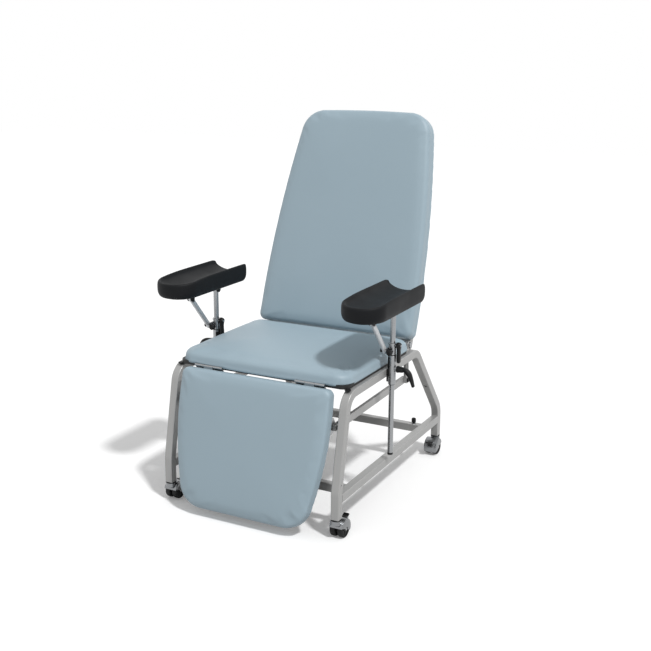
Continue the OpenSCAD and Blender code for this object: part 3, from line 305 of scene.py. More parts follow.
def corner_arc(before: Point, corner: Point, after: Point, radius: float, steps: int
               ) -> list[Point]:
    """Rounds one corner of an outline.

    Args:
        before: the corner before it.
        corner: the corner.
        after: the corner after it.
        radius: the radius of the arc.
        steps: how many parts the arc has.

    Returns:
        The points of the arc.
    """
    b, u, v = Vector(corner), Vector(corner) - Vector(before), Vector(after) - Vector(corner)
    turn = math.atan2(u.x * v.y - u.y * v.x, u.dot(v))
    start = b - u.normalized() * radius * math.tan(abs(turn) / 2)
    side = math.copysign(1, turn)
    head = math.atan2(u.y, u.x)
    middle = start + radius * side * Vector((-math.sin(head), math.cos(head)))
    angles = [head - side * math.pi / 2 + turn * i / steps for i in range(steps + 1)]
    return [(middle.x + radius * math.cos(a), middle.y + radius * math.sin(a))
            for a in angles]


def bowed_side(start: Point, end: Point, rise: float, steps: int) -> list[Point]:
    """Points between two others on a line that is bowed outwards.

    Args:
        start: where the side starts.
        end: where it ends.
        rise: how far it bows at its middle.
        steps: how many parts it has.

    Returns:
        The points, without both ends.
    """
    p, q = Vector(start), Vector(end)
    out = Vector((q.y - p.y, p.x - q.x)).normalized()
    spots = [i / steps for i in range(1, steps)]
    return [tuple(p + (q - p) * t + out * rise * 4 * t * (1 - t)) for t in spots]


def outline(corners: Sequence[Point], radii: Sequence[float], bows: Sequence[float],
            arc_steps: int = 14, side_steps: int = 24) -> list[Point]:
    """A closed outline, counterclockwise.

    Args:
        corners: its corners.
        radii: the radius at each corner.
        bows: how far the side after each corner bows out.
        arc_steps: how many parts each arc has.
        side_steps: how many parts each side has.

    Returns:
        The points of the outline.
    """
    count = len(corners)
    arcs = [corner_arc(corners[i - 1], corners[i], corners[(i + 1) % count], radii[i],
                       arc_steps) for i in range(count)]
    points = []
    for i, arc in enumerate(arcs):
        points += arc + bowed_side(arc[-1], arcs[(i + 1) % count][0], bows[i], side_steps)
    return points


def section(half_wide: float, half_high: float, power: float = 2.5, steps: int = 20
            ) -> list[Point]:
    """A rounded section: an ellipse at a power of 2, nearer a rectangle above it."""
    points = []
    for i in range(steps):
        c, s = math.cos(2 * math.pi * i / steps), math.sin(2 * math.pi * i / steps)
        points.append((half_wide * math.copysign(abs(c) ** (2 / power), c),
                       half_high * math.copysign(abs(s) ** (2 / power), s)))
    return points


def smooth_path(corners: Sequence[Vector], steps: int) -> list[Vector]:
    """A Bezier curve from the first of its control points to the last."""
    path = []
    for i in range(steps + 1):
        row, t = list(corners), i / steps
        while len(row) > 1:
            row = [a.lerp(b, t) for a, b in zip(row, row[1:])]
        path.append(row[0])
    return path


def tapered(stations: Sequence[tuple[float, float, float]], steps: int) -> list[Point]:
    """Sizes along a path, eased between stations.

    Args:
        stations: for each, its share of the path, half its width and half its height.
        steps: how many parts the path has.

    Returns:
        Half the width and half the height at each point of the path.
    """
    sizes = []
    for i in range(steps + 1):
        t = i / steps
        after = next(k for k in range(1, len(stations)) if t <= stations[k][0] + 1e-9)
        low, high = stations[after - 1], stations[after]
        ease = (1 - math.cos(math.pi * (t - low[0]) / (high[0] - low[0]))) / 2
        sizes.append((low[1] + (high[1] - low[1]) * ease, low[2] + (high[2] - low[2]) * ease))
    return sizes


def aimed(spot: Sequence[float], out: Sequence[float]) -> Matrix:
    """The place of a form that stands at a spot with its own z axis along a direction."""
    return Matrix.Translation(spot) @ Vector(out).to_track_quat("Z", "Y").to_matrix().to_4x4()


def drawn_in(points: Sequence[Point], inset: float) -> list[Point]:
    """Draws an outline in towards its middle by an inset."""
    xs, ys = [p[0] for p in points], [p[1] for p in points]
    mid = (min(xs) + max(xs)) / 2, (min(ys) + max(ys)) / 2
    half = (max(xs) - min(xs)) / 2, (max(ys) - min(ys)) / 2
    return [(mid[0] + (x - mid[0]) * (1 - inset / half[0]),
             mid[1] + (y - mid[1]) * (1 - inset / half[1])) for x, y in points]


# How far the ends of a swept form stand out, as a share of its half height
DOME_SHARE = 0.8


@dataclass
class Shell:
    """The points and faces of one piece, in millimetres, with a finish for each face."""

    points: list[Vector] = field(default_factory=list)
    faces: list[tuple[int, ...]] = field(default_factory=list)
    kinds: list[int] = field(default_factory=list)

    def rings(self, rings: Sequence[Sequence[Vector]], kind: int = 0,
              place: Matrix = Matrix.Identity(4)) -> None:
        """Joins rings of points into a skin, closed at its first and last rings.

        Args:
            rings: the rings, each with the same number of points.
            kind: which of the piece's finishes it has.
            place: where it goes.
        """
        start, count = len(self.points), len(rings[0])
        self.points += [place @ Vector(p) for ring in rings for p in ring]
        made = []
        for row in range(len(rings) - 1):
            for i in range(count):
                a, b = start + row * count + i, start + row * count + (i + 1) % count
                made.append((a, b, b + count, a + count))
        last = start + (len(rings) - 1) * count
        made.append(tuple(start + i for i in reversed(range(count))))
        made.append(tuple(last + i for i in range(count)))
        self.faces += made
        self.kinds += [kind] * len(made)

    def lathe(self, profile: Sequence[Point], place: Matrix, kind: int = 0, steps: int = 32,
              flutes: int = 0, flute_depth: float = 0.0) -> None:
        """Turns a profile round its own z axis.

        Args:
            profile: radius and height of each point, from the bottom up.
            place: where the turned form goes.
            kind: which of the piece's finishes it has.
            steps: how many sides it has.
            flutes: how many grips are cut round it, none if 0.
            flute_depth: how deep they are at the widest radius.
        """
        widest = max(radius for radius, _ in profile)
        rings = []
        for radius, height in profile:
            ring = []
            for i in range(steps):
                angle = 2 * math.pi * i / steps
                cut = flute_depth * (1 - math.cos(flutes * angle)) / 2 if flutes else 0.0
                r = radius - cut * (radius / widest) ** 4
                ring.append(Vector((r * math.cos(angle), r * math.sin(angle), height)))
            rings.append(ring)
        self.rings(rings, kind, place)

    def sweep(self, path: Sequence[Vector], sizes: Sequence[Point], side: Vector,
              power: float = 2.5, kind: int = 0, place: Matrix = Matrix.Identity(4)
              ) -> None:
        """Runs a rounded section along a path in one plane, with domed ends.

        Args:
            path: the points of the path.
            sizes: half the width across the plane and half the height in it, at each point.
            side: the direction across the plane.
            power: how near the section is to a rectangle.
            kind: which of the piece's finishes it has.
            place: where it goes.
        """
        rows = []
        for i, spot in enumerate(path):
            ahead = (path[min(i + 1, len(path) - 1)] - path[max(i - 1, 0)]).normalized()
            rows.append((spot, ahead, sizes[i]))
        first, last = rows[0], rows[-1]
        ends = [(math.sin(math.radians(a)), math.cos(math.radians(a))) for a in (80, 55, 28)]
        head = [(first[0] - first[1] * first[2][1] * DOME_SHARE * s, first[1],
                 (first[2][0] * c, first[2][1] * c)) for s, c in ends]
        tail = [(last[0] + last[1] * last[2][1] * DOME_SHARE * s, last[1],
                 (last[2][0] * c, last[2][1] * c)) for s, c in reversed(ends)]
        rings = []
        for spot, ahead, (wide, high) in head + rows + tail:
            up = side.cross(ahead).normalized()
            rings.append([spot + side * u + up * v for u, v in section(wide, high, power)])
        self.rings(rings, kind, place)

    def build(self, name: str, materials: Sequence[bpy.types.Material],
              sharp: float = 40.0) -> bpy.types.Object:
        """Makes the piece's object.

        Args:
            name: the piece's name.
            materials: its finishes, in the order of the faces' kinds.
            sharp: the angle in degrees above which an edge stays sharp.

        Returns:
            The object, in metres, at the origin.
        """
        mesh = bpy.data.meshes.new(name)
        mesh.from_pydata([p * MM for p in self.points], [], self.faces)
        for material in materials:
            mesh.materials.append(material)
        mesh.polygons.foreach_set("material_index", self.kinds)
        tidy = bmesh.new()
        tidy.from_mesh(mesh)
        bmesh.ops.recalc_face_normals(tidy, faces=tidy.faces)
        tidy.to_mesh(mesh)
        tidy.free()
        mesh.shade_smooth()
        mesh.set_sharp_from_angle(angle=math.radians(sharp))
        made = bpy.data.objects.new(name, mesh)
        bpy.context.scene.collection.objects.link(made)
        return made


def finish_piece(piece: bpy.types.Object, body: str, slot: str, *nodes: str) -> None:
    """Sets a finished piece on its body and reports it.

    Args:
        piece: the piece, in place.
        body: the CAD body that it rides on.
        slot: the name of a slot in the record; not used.
        nodes: the CAD nodes that it stands for.
    """
    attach(piece, body)
    if nodes:
        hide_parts(*nodes)
    LOG.info("%s: %d faces on %s", piece.name, len(piece.data.polygons), body)


@dataclass
class Cushion:
    """A block of foam under vinyl that is stretched and wrapped over the edge of its board."""

    name: str
    node: str
    body: str
    place: Matrix
    points: list[Point]
    thickness: float
    crown: float
    edge_radius: float
    base_in: float
    wrap: float = 8.0
    lip: float = 0.8
    swell: float = 3.6
    waist_in: float = 1.0
    voxel: float = 5.0

    def form(self) -> Shell:
        """The foam before its cover is stretched: drawn-in sides and a rounded edge.

        Returns:
            The form in the cushion's own axes, a little smaller than the cushion.
        """
        t, r = self.thickness, self.edge_radius
        rows = [(self.base_in, -self.wrap), (self.base_in - self.lip, 0.0),
                (self.waist_in, t * 0.25), (0.3, t * 0.42), (0.0, t - 1.3 * r)]
        rows += [(r * (1 - math.cos(a)), t - r * (1 - math.sin(a)))
                 for a in (math.radians(d) for d in range(0, 91, 9))]
        rings = [[Vector((x, y, z)) for x, y in drawn_in(self.points, inset)]
                 for inset, z in rows]
        top = drawn_in(self.points, r)
        mid_y = (min(p[1] for p in top) + max(p[1] for p in top)) / 2
        for step in range(1, 18):
            share = 1 - step / 18
            z = t + self.crown * (1 - share ** 2.4)
            rings.append([Vector((x * share, mid_y + (y - mid_y) * share, z))
                          for x, y in top])
        shell = Shell()
        shell.rings(rings)
        return shell

    def stretch(self, piece: bpy.types.Object) -> None:
        """Blows the cover up against its own tension, then takes the cloth off.

        Args:
            piece: the form, which keeps its base.
        """
        remesh = piece.modifiers.new("even_net", "REMESH")
        remesh.mode, remesh.voxel_size = "VOXEL", self.voxel * MM
        bpy.context.view_layer.objects.active = piece
        bpy.ops.object.modifier_apply(modifier=remesh.name)
        mesh = piece.data
        rest = [v.co.copy() for v in mesh.vertices]
        base = piece.vertex_groups.new(name="base")
        base.add([i for i, p in enumerate(rest) if p.z < 0], 1.0, "REPLACE")
        cloth = piece.modifiers.new("cover", "CLOTH")
        cloth.settings.vertex_group_mass = base.name
        cloth.settings.use_pressure = True
        cloth.settings.uniform_pressure_force = 4
        cloth.settings.effector_weights.gravity = 0
        cloth.settings.quality = 4
        cloth.settings.tension_stiffness = 15
        cloth.settings.compression_stiffness = 15
        cloth.settings.bending_stiffness = 2
        cloth.point_cache.frame_start, cloth.point_cache.frame_end = 1, 20
        for step in range(1, 21):
            bpy.context.scene.frame_set(step)
        blown = piece.evaluated_get(bpy.context.evaluated_depsgraph_get())
        ends = [v.co.copy() for v in blown.data.vertices]
        piece.modifiers.remove(cloth)
        bpy.context.scene.frame_set(1)
        limit = self.swell * MM
        for vertex, start, end in zip(mesh.vertices, rest, ends):
            move = end - start
            if move.length > 0:
                vertex.co = start + move * (limit * math.tanh(move.length / limit)
                                            / move.length)
        smooth = piece.modifiers.new("rested", "SMOOTH")
        smooth.factor, smooth.iterations = 0.5, 4
        bpy.ops.object.modifier_apply(modifier=smooth.name)
        fine = piece.modifiers.new("fine", "SUBSURF")
        fine.levels = fine.render_levels = 1
        bpy.ops.object.modifier_apply(modifier=fine.name)

    def build(self, shop: Shop) -> None:
        """Makes the cushion and sets it on its body."""
        piece = self.form().build(self.name, [shop.get(VINYL)])
        self.stretch(piece)
        piece.data.transform(self.place)
        piece.data.shade_smooth()
        finish_piece(piece, self.body, "upholstery", self.node)


@dataclass
class Upholstery:
    """The three cushions."""

    seat_half: float = 281.0
    seat_y: Point = (-319.0, 124.0)
    seat_z: float = 429.3
    leg_half: Point = (212.0, 250.0)
    leg_y: Point = (-412.0, 0.0)
    leg_face: Point = (-357.0, 427.0)
    leg_lean: float = 13.0
    leg_behind: float = 36.7
    back_half: Point = (280.0, 229.0)
    back_y: Point = (-48.0, 682.0)
    back_face: Point = (141.3, 500.0)
    back_lean: float = 19.8
    back_behind: float = 49.7

    @staticmethod
    def tapering(half: Point, ys: Point, radii: Sequence[float], bows: Sequence[float]
                 ) -> list[Point]:
        """The outline of a cushion from half its width and its place at both its ends."""
        return outline([(-half[0], ys[0]), (half[0], ys[0]), (half[1], ys[1]),
                        (-half[1], ys[1])], radii, bows)

    @staticmethod
    def tilted(face: Point, lean: float, behind: float) -> Matrix:
        """The place of a cushion's base, from a point on its face and its lean."""
        spot = Matrix.Translation(Vector((0, face[0], face[1])) * MM)
        turn = Matrix.Rotation(math.radians(90 - lean), 4, "X")
        return spot @ turn @ Matrix.Translation((0, 0, -behind * MM))

    def build(self, shop: Shop) -> None:
        """Makes the cushions of the seat, legrest and backrest."""
        seat = self.tapering((self.seat_half, self.seat_half), self.seat_y, [50, 50, 24, 24],
                             [8, 1, 0, 1])
        leg = self.tapering(self.leg_half, self.leg_y, [82, 82, 22, 22], [0, 12, 0, 12])
        back = self.tapering(self.back_half, self.back_y, [24, 24, 80, 80], [0, 13, 3, 13])
        seat_place = Matrix.Translation((0, 0, self.seat_z * MM))
        leg_place = self.tilted(self.leg_face, self.leg_lean, self.leg_behind)
        back_place = self.tilted(self.back_face, self.back_lean, self.back_behind)
        Cushion("seat_pad", "seat_cushion", "frame", seat_place, seat, thickness=31,
                crown=22, edge_radius=20, base_in=1.0).build(shop)
        Cushion("legrest_pad", "legrest_cushion", "legrest", leg_place, leg,
                thickness=33.2, crown=7, edge_radius=12, base_in=1.5, wrap=4).build(shop)
        Cushion("backrest_pad", "back_cushion", "backrest", back_place, back,
                thickness=46.7, crown=9, edge_radius=16, base_in=2.0).build(shop)


class Drive(Enum):
    """The outline of a head or of the recess that turns it."""

    ROUND = "round"
    HEX = "hexagon"
    CROSS = "cross"

    def radius(self, size: float, angle: float) -> float:
        """How far the outline lies from its middle.

        Args:
            size: half the size across it.
            angle: the direction, in radians.

        Returns:
            The distance.
        """
        if self is Drive.HEX:
            sixth = math.pi / 3
            return size / math.cos((angle + sixth / 2) % sixth - sixth / 2)
        if self is Drive.CROSS:
            arm, c, s = 0.3 * size, abs(math.cos(angle)) + 1e-9, abs(math.sin(angle)) + 1e-9
            return max(min(size / c, arm / s), min(size / s, arm / c))
        return size


@dataclass(frozen=True)
class Fixing:
    """A screw, bolt or pin head, with its drive and its washer."""

    head: float
    height: float
    drive: Drive = Drive.HEX
    drive_size: float = 4.0
    washer: float = 0.0
    washer_t: float = 1.2
    flat: float = 0.25

    def add(self, shell: Shell, spot: Sequence[float], out: Sequence[float]) -> None:
        """Sets the head on a face.

        Args:
            shell: the piece that it joins.
            spot: the middle of its seat.
            out: the direction in which it stands.
        """
        r, low = self.head / 2, -0.2
        rows = []
        if self.washer:
            w = self.washer / 2
            rows += [(Drive.ROUND, w, low), (Drive.ROUND, w, self.washer_t * 0.7),
                     (Drive.ROUND, w - 0.4, self.washer_t)]
            low = self.washer_t
        top, wide = low + self.height, self.drive_size / 2
        rows += [(Drive.ROUND, r, low), (Drive.ROUND, r, low + self.height * self.flat),
                 (Drive.ROUND, r * 0.9, low + self.height * (0.45 + 0.5 * self.flat)),
                 (Drive.ROUND, max(r * 0.66, wide * 1.2), top)]
        if wide:
            rows += [(Drive.ROUND, wide * 1.15, top), (self.drive, wide, top - 0.15),
                     (self.drive, wide * 0.92, top - self.height * 0.6)]
        rings = []
        for outline_kind, size, z in rows:
            angles = [2 * math.pi * i / 48 for i in range(48)]
            rings.append([Vector((outline_kind.radius(size, a) * math.cos(a),
                                  outline_kind.radius(size, a) * math.sin(a), z))
                          for a in angles])
        shell.rings(rings, 0, aimed(spot, out))


BUTTON_BOLT = Fixing(10.5, 3.2, washer=13.0)
WOOD_SCREW = Fixing(8.0, 2.6, Drive.CROSS, 4.6)
SUNK_SCREW = Fixing(8.4, 0.9, Drive.CROSS, 4.6, flat=0.6)
PIN_HEAD = Fixing(13.0, 2.0, drive_size=0.0, flat=0.6)


@dataclass
class Welds:
    """The weld beads of one body: rippled fillets in the corners of its joints."""

    name: str
    body: str
    size: float = 2.8
    ripple: float = 2.6
    shell: Shell = field(default_factory=Shell)

    def bead(self, start: Sequence[float], end: Sequence[float], face_a: Sequence[float],
             face_b: Sequence[float]) -> None:
        """Lays a bead in a corner between two faces.

        Args:
            start: where it starts, in the corner.
            end: where it ends.
            face_a: the direction that one face looks in.
            face_b: the direction that the other face looks in.
        """
        a, b, p, q = Vector(face_a), Vector(face_b), Vector(start), Vector(end)
        ahead = (q - p).normalized()
        count = max(8, round((q - p).length / (self.ripple / 5)))
        rings = []
        for i in range(count + 1):
            t = i / count
            near = min(t, 1 - t) * (q - p).length / self.size
            swell = math.sqrt(max(0.05, 1 - max(0.0, 1 - near) ** 2))
            wave = 1 + 0.13 * abs(math.sin(math.pi * t * (q - p).length / self.ripple))
            size = self.size * swell * wave
            middle = p.lerp(q, t)
            ring = [middle - (a + b) * 0.4]
            for step in range(7):
                turn = math.pi / 2 * step / 6
                lag = ahead * 0.8 * math.sin(2 * turn)
                ring.append(middle + (b * math.cos(turn) + a * math.sin(turn)) * size * 0.92
                            + lag)
            rings.append(ring)
        self.shell.rings(rings)

    def build(self, shop: Shop) -> None:
        """Paints the beads like the tubes and sets them on their body."""
        piece = self.shell.build(self.name, [shop.get(POWDER_PAINT)], 60.0)
        finish_piece(piece, self.body, "frame_paint")


class Side(Enum):
    """The two sides of the chair, as seen from in front."""

    LEFT = -1
    RIGHT = 1

    @property
    def word(self) -> str:
        """The side's name in the CAD nodes."""
        return self.name.lower()


def knob_rows(radius: float, height: float) -> list[Point]:
    """The profile of a moulded knob: a neck, a barrel and a domed end."""
    shares = [(0.6, 0.0), (0.62, 0.1), (0.92, 0.16), (1.0, 0.26), (1.0, 0.7), (0.96, 0.84),
              (0.82, 0.95), (0.5, 1.0), (0.46, 0.97), (0.2, 0.97)]
    return [(r * radius, h * height) for r, h in shares]


# The section of a pad's side and rim, in from its outline as shares of the rim's width, and
# up as shares of its height
RIM_SHARES = ((0.9, 0.0), (0.67, 0.0), (0.4, 0.04), (0.17, 0.16), (0.03, 0.32), (0.0, 0.5),
              (0.0, 0.68), (0.03, 0.85), (0.1, 0.94), (0.23, 0.99))
# The section of a trough, in from the pad's outline in millimetres, and up from the trough's
# floor as shares of its depth
TROUGH_SECTION = ((6.6, 1.0), (8.4, 0.98), (10.0, 0.88), (12.0, 0.7), (14.5, 0.56),
                  (19.0, 0.43), (26.0, 0.31), (35.0, 0.18), (45.0, 0.08), (55.0, 0.02),
                  (62.0, 0.0))


@dataclass
class Armrest:
    """One trough armrest: its moulded pad, levers and knobs."""

    side: Side
    post_x: float = 306.0
    post_y: float = -70.0
    width: float = 132.0
    front: float = -260.0
    back: float = 88.0
    low: float = 610.0
    height: float = 56.0
    floor: float = 30.0
    rim: float = 15.0
    tip_drop: float = 11.5
    stud_z: float = 419.0
    tilt_hub_z: float = 491.0
    tilt_grip: float = 49.0
    knob_x: float = 3.4
    knob_z: float = 474.0
    knob_near: float = 22.0
    knob_r: float = 8.7
    post_low: float = 150.0
    strut_bolt: tuple[float, float, float] = (-17.2, -25.0, 478.0)
    screw_x: float = 32.0
    screw_ys: tuple[float, float, float] = (-185.0, -45.0, 42.0)
    plate_t: float = 3.3
    hinge_pin: Point = (12.5, 592.0)
    strut_pin: tuple[float, float, float] = (-13.5, -118.0, 583.0)
    strut_pin_half: float = 8.0
    liner_z: Point = (397.9, 455.1)
    liner_r: float = 11.62
    liner_slit: float = 3.9
    liner_back: float = 11.7

    def spot(self, x: float, y: float, z: float) -> Vector:
        """A point given from the post, with x outwards, in the frame's axes."""
        return Vector((self.side.value * (self.post_x + x), self.post_y + y, z))

    def pad(self, shop: Shop) -> None:
        """Moulds the pad: fat sides, a rounded rim and a trough open at the back."""
        half = self.width / 2
        points = outline([(-half, self.front), (half, self.front), (half, self.back),
                          (-half, self.back)], [half - 0.5, half - 0.5, 14, 14],
                         [0, 0, 0, 0], 18, 10)
        mid_y = (self.front + self.back) / 2
        long = (self.back - self.front) / 2

        def top(x: float, y: float) -> float:
            """Height of the pad's upper side, rim and trough, at a point above the plate."""
            past = min(0.0, y - (self.front + half))
            inset = half - math.hypot(x, past)
            rise = (self.height - self.floor
                    - self.tip_drop * max(0.0, (mid_y - y) / long) ** 2)
            for (near, high), (far, low) in zip(TROUGH_SECTION, TROUGH_SECTION[1:]):
                if near < inset <= far:
                    share = (inset - near) / (far - near)
                    return self.floor + rise * (high + (low - high) * share)
            return self.floor + (rise if inset <= TROUGH_SECTION[0][0] else 0.0)

        rings = []
        for inset, up in RIM_SHARES:
            ring = drawn_in(points, inset * self.rim)
            rings.append([Vector((x, y, up * top(*edge)))
                          for (x, y), edge in zip(ring, points)])
        for inset, _ in TROUGH_SECTION:
            rings.append([Vector((x, y, top(x, y))) for x, y in drawn_in(points, inset)])
        inner = rings[-1]
        for share in (0.75, 0.5, 0.25, 0.08):
            ring = [(p.x * share, mid_y + (p.y - mid_y) * share) for p in inner]
            rings.append([Vector((x, y, top(x, y))) for x, y in ring])
        shell = Shell()
        place = Matrix.Translation((self.side.value * self.post_x, self.post_y, self.low))
        shell.rings(rings, 0, place)
        piece = shell.build(f"armrest_foam_{self.side.word}", [shop.get(SKIN_FOAM)])
        fine = piece.modifiers.new("fine", "SUBSURF")
        fine.levels = fine.render_levels = 1
        bpy.context.view_layer.objects.active = piece
        bpy.ops.object.modifier_apply(modifier=fine.name)
        piece.data.shade_smooth()
        finish_piece(piece, f"arm_rest_{self.side.word}", "armrest_foam",
                     f"arm_pad_{self.side.word}")

    def at(self, x: float, y: float, z: float) -> Vector:
        """A point given from the post, with the same axes on both sides."""
        return Vector((self.side.value * self.post_x + x, self.post_y + y, z))

    def clamp_lever(self, shop: Shop) -> None:
        """Makes the lever that clamps the post: a flared hub and a grip that curves down."""
        out = (self.side.value, 0, 0)
        shell = Shell()
        shell.lathe([(4.0, 9.0), (4.0, 15.4), (8.8, 15.5), (10.2, 16.6), (10.4, 19.0),
                     (9.3, 24.0), (8.8, 31.0), (8.2, 35.0), (6.6, 37.0), (5.0, 37.6),
                     (4.8, 36.8)], aimed(self.spot(0, 0, self.stud_z), out))
        shell.lathe([(4.3, 36.4), (4.1, 37.7), (2.6, 38.1), (2.2, 37.4)],
                    aimed(self.spot(0, 0, self.stud_z), out), 1)
        path = smooth_path([self.spot(24, 0, self.stud_z + 3), self.spot(57, 0, self.stud_z + 4),
                            self.spot(60, 0, self.stud_z - 22),
                            self.spot(68, 0, self.stud_z - 45)], 22)
        sizes = tapered([(0, 6.6, 5.4), (0.4, 8.8, 7.6), (0.74, 6.6, 5.8), (1, 6.2, 4.4)], 22)
        shell.sweep(path, sizes, Vector((0, 1, 0)), 2.6)
        piece = shell.build(f"clamp_grip_{self.side.word}", [shop.get(NYLON),
                                                             shop.get(BRIGHT_ZINC)])
        finish_piece(piece, f"clamp_lever_{self.side.word}", "black_plastic",
                     f"clamp_lever_{self.side.word}")

    def tilt_lever(self, shop: Shop) -> None:
        """Makes the lever that locks the tilt: a round hub and a grip that hangs down."""
        hub = self.at(0, 0, self.tilt_hub_z)
        shell = Shell()
        shell.lathe([(3.0, 8.5), (3.0, 13.9), (8.4, 14.0), (9.7, 15.0), (10.0, 18.0),
                     (9.4, 22.5), (7.6, 25.8), (5.4, 27.0), (4.4, 26.6)], aimed(hub, (1, 0, 0)))
        shell.lathe([(3.9, 26.2), (3.7, 27.4), (2.0, 27.8)], aimed(hub, (1, 0, 0)), 1)
        path = smooth_path([self.at(20.2, 0, self.tilt_hub_z - 2),
                            self.at(19.6, 0, self.tilt_hub_z - 24),
                            self.at(20.4, 0, self.tilt_hub_z - self.tilt_grip)], 18)
        sizes = tapered([(0, 8.6, 6.2), (0.34, 6.8, 5.4), (0.78, 7.8, 6.0), (1, 7.2, 5.2)], 18)
        shell.sweep(path, sizes, Vector((0, 1, 0)), 2.8)
        piece = shell.build(f"tilt_grip_{self.side.word}", [shop.get(NYLON),
                                                            shop.get(BRIGHT_ZINC)])
        finish_piece(piece, f"tilt_lever_{self.side.word}", "black_plastic",
                     f"tilt_lever_{self.side.word}")

    def knobs(self, shop: Shop) -> None:
        """Makes the fluted knob in front of the collar and the cap on the strut's bolt."""
        word = self.side.word
        shell = Shell()
        place = aimed(self.at(self.knob_x, -self.knob_near, self.knob_z), (0, -1, 0))
        shell.lathe([(3.0, -12.0), (3.0, 0.2)], place, 1)
        shell.lathe([(6.2, -1.3), (6.6, -1.1), (6.6, 0.1)], place, 1)
        shell.lathe(knob_rows(self.knob_r, 16.0), place, 0, 48, 8, 1.6)
        piece = shell.build(f"collar_grip_{word}", [shop.get(NYLON), shop.get(BRIGHT_ZINC)])
        finish_piece(piece, f"collar_knob_{word}", "black_plastic", f"collar_knob_{word}")
        cap = Shell()
        cap.lathe(knob_rows(6.7, 9.8), aimed(self.at(*self.strut_bolt), (-1, 0, 0)), 0, 48,
                  6, 0.9)
        finish_piece(cap.build(f"strut_bolt_cap_{word}", [shop.get(NYLON)]),
                     f"arm_collar_{word}", "black_plastic")

    def post_cap(self, shop: Shop) -> None:
        """Closes the lower end of the post with a black cap."""
        cap = Shell()
        cap.lathe([(3.0, -0.6), (6.6, -0.5), (8.1, 0.3), (8.45, 1.2), (8.45, 6.2), (8.0, 6.6)],
                  aimed(self.at(0, 0, self.post_low), (0, 0, 1)))
        finish_piece(cap.build(f"post_end_cap_{self.side.word}", [shop.get(NYLON)]),
                     f"arm_mast_{self.side.word}", "black_plastic")

    def fixings(self, shop: Shop) -> None:
        """Screws the plate to the pad and closes the hinge pins."""
        word = self.side.word
        shell = Shell()
        for y in self.screw_ys:
            for x in (-self.screw_x, self.screw_x):
                WOOD_SCREW.add(shell, self.at(x, y, self.low - self.plate_t), (0, 0, -1))
        piece = shell.build(f"armrest_screws_{word}", [shop.get(BRIGHT_ZINC)])
        finish_piece(piece, f"arm_rest_{word}", "zinc_plate")
        pins = Shell()
        half, (x, y, z) = self.strut_pin_half, self.strut_pin
        for way in (-1, 1):
            PIN_HEAD.add(pins, self.at(way * self.hinge_pin[0], 0, self.hinge_pin[1]),
                         (way, 0, 0))
            PIN_HEAD.add(pins, self.at(x + way * half, y, z), (way, 0, 0))
        piece = pins.build(f"armrest_pin_caps_{word}", [shop.get(NYLON)])
        finish_piece(piece, f"arm_rest_{word}", "black_plastic")

    def build(self, shop: Shop, frame: dict) -> None:
        """Makes the armrest's pieces and finishes its CAD nodes."""
        word = self.side.word
        self.pad(shop)
        self.clamp_lever(shop)
        self.tilt_lever(shop)
        self.knobs(shop)
        self.post_cap(shop)
        self.fixings(shop)
        shop.second_finish(frame["nodes"][f"arm_strut_{word}"], BRUSHED_ALUMINIUM,
                           lambda _: True)
        shop.second_finish(frame["nodes"][f"arm_clamp_{word}"], NYLON, self.in_liner)
        shop.second_finish(frame["nodes"][f"arm_collar_{word}"], NYLON,
                           lambda p: p.x < self.at(*self.strut_bolt).x)

    def in_liner(self, p: Vector) -> bool:
        """Whether a face of the clamp is part of its black liner."""
        inwards = -self.side.value * (p.x - self.side.value * self.post_x)
        away = math.hypot(inwards, p.y - self.post_y)
        low, high = self.liner_z
        return low < p.z < high and (away > self.liner_r and inwards > self.liner_slit
                                     or inwards > self.liner_back)


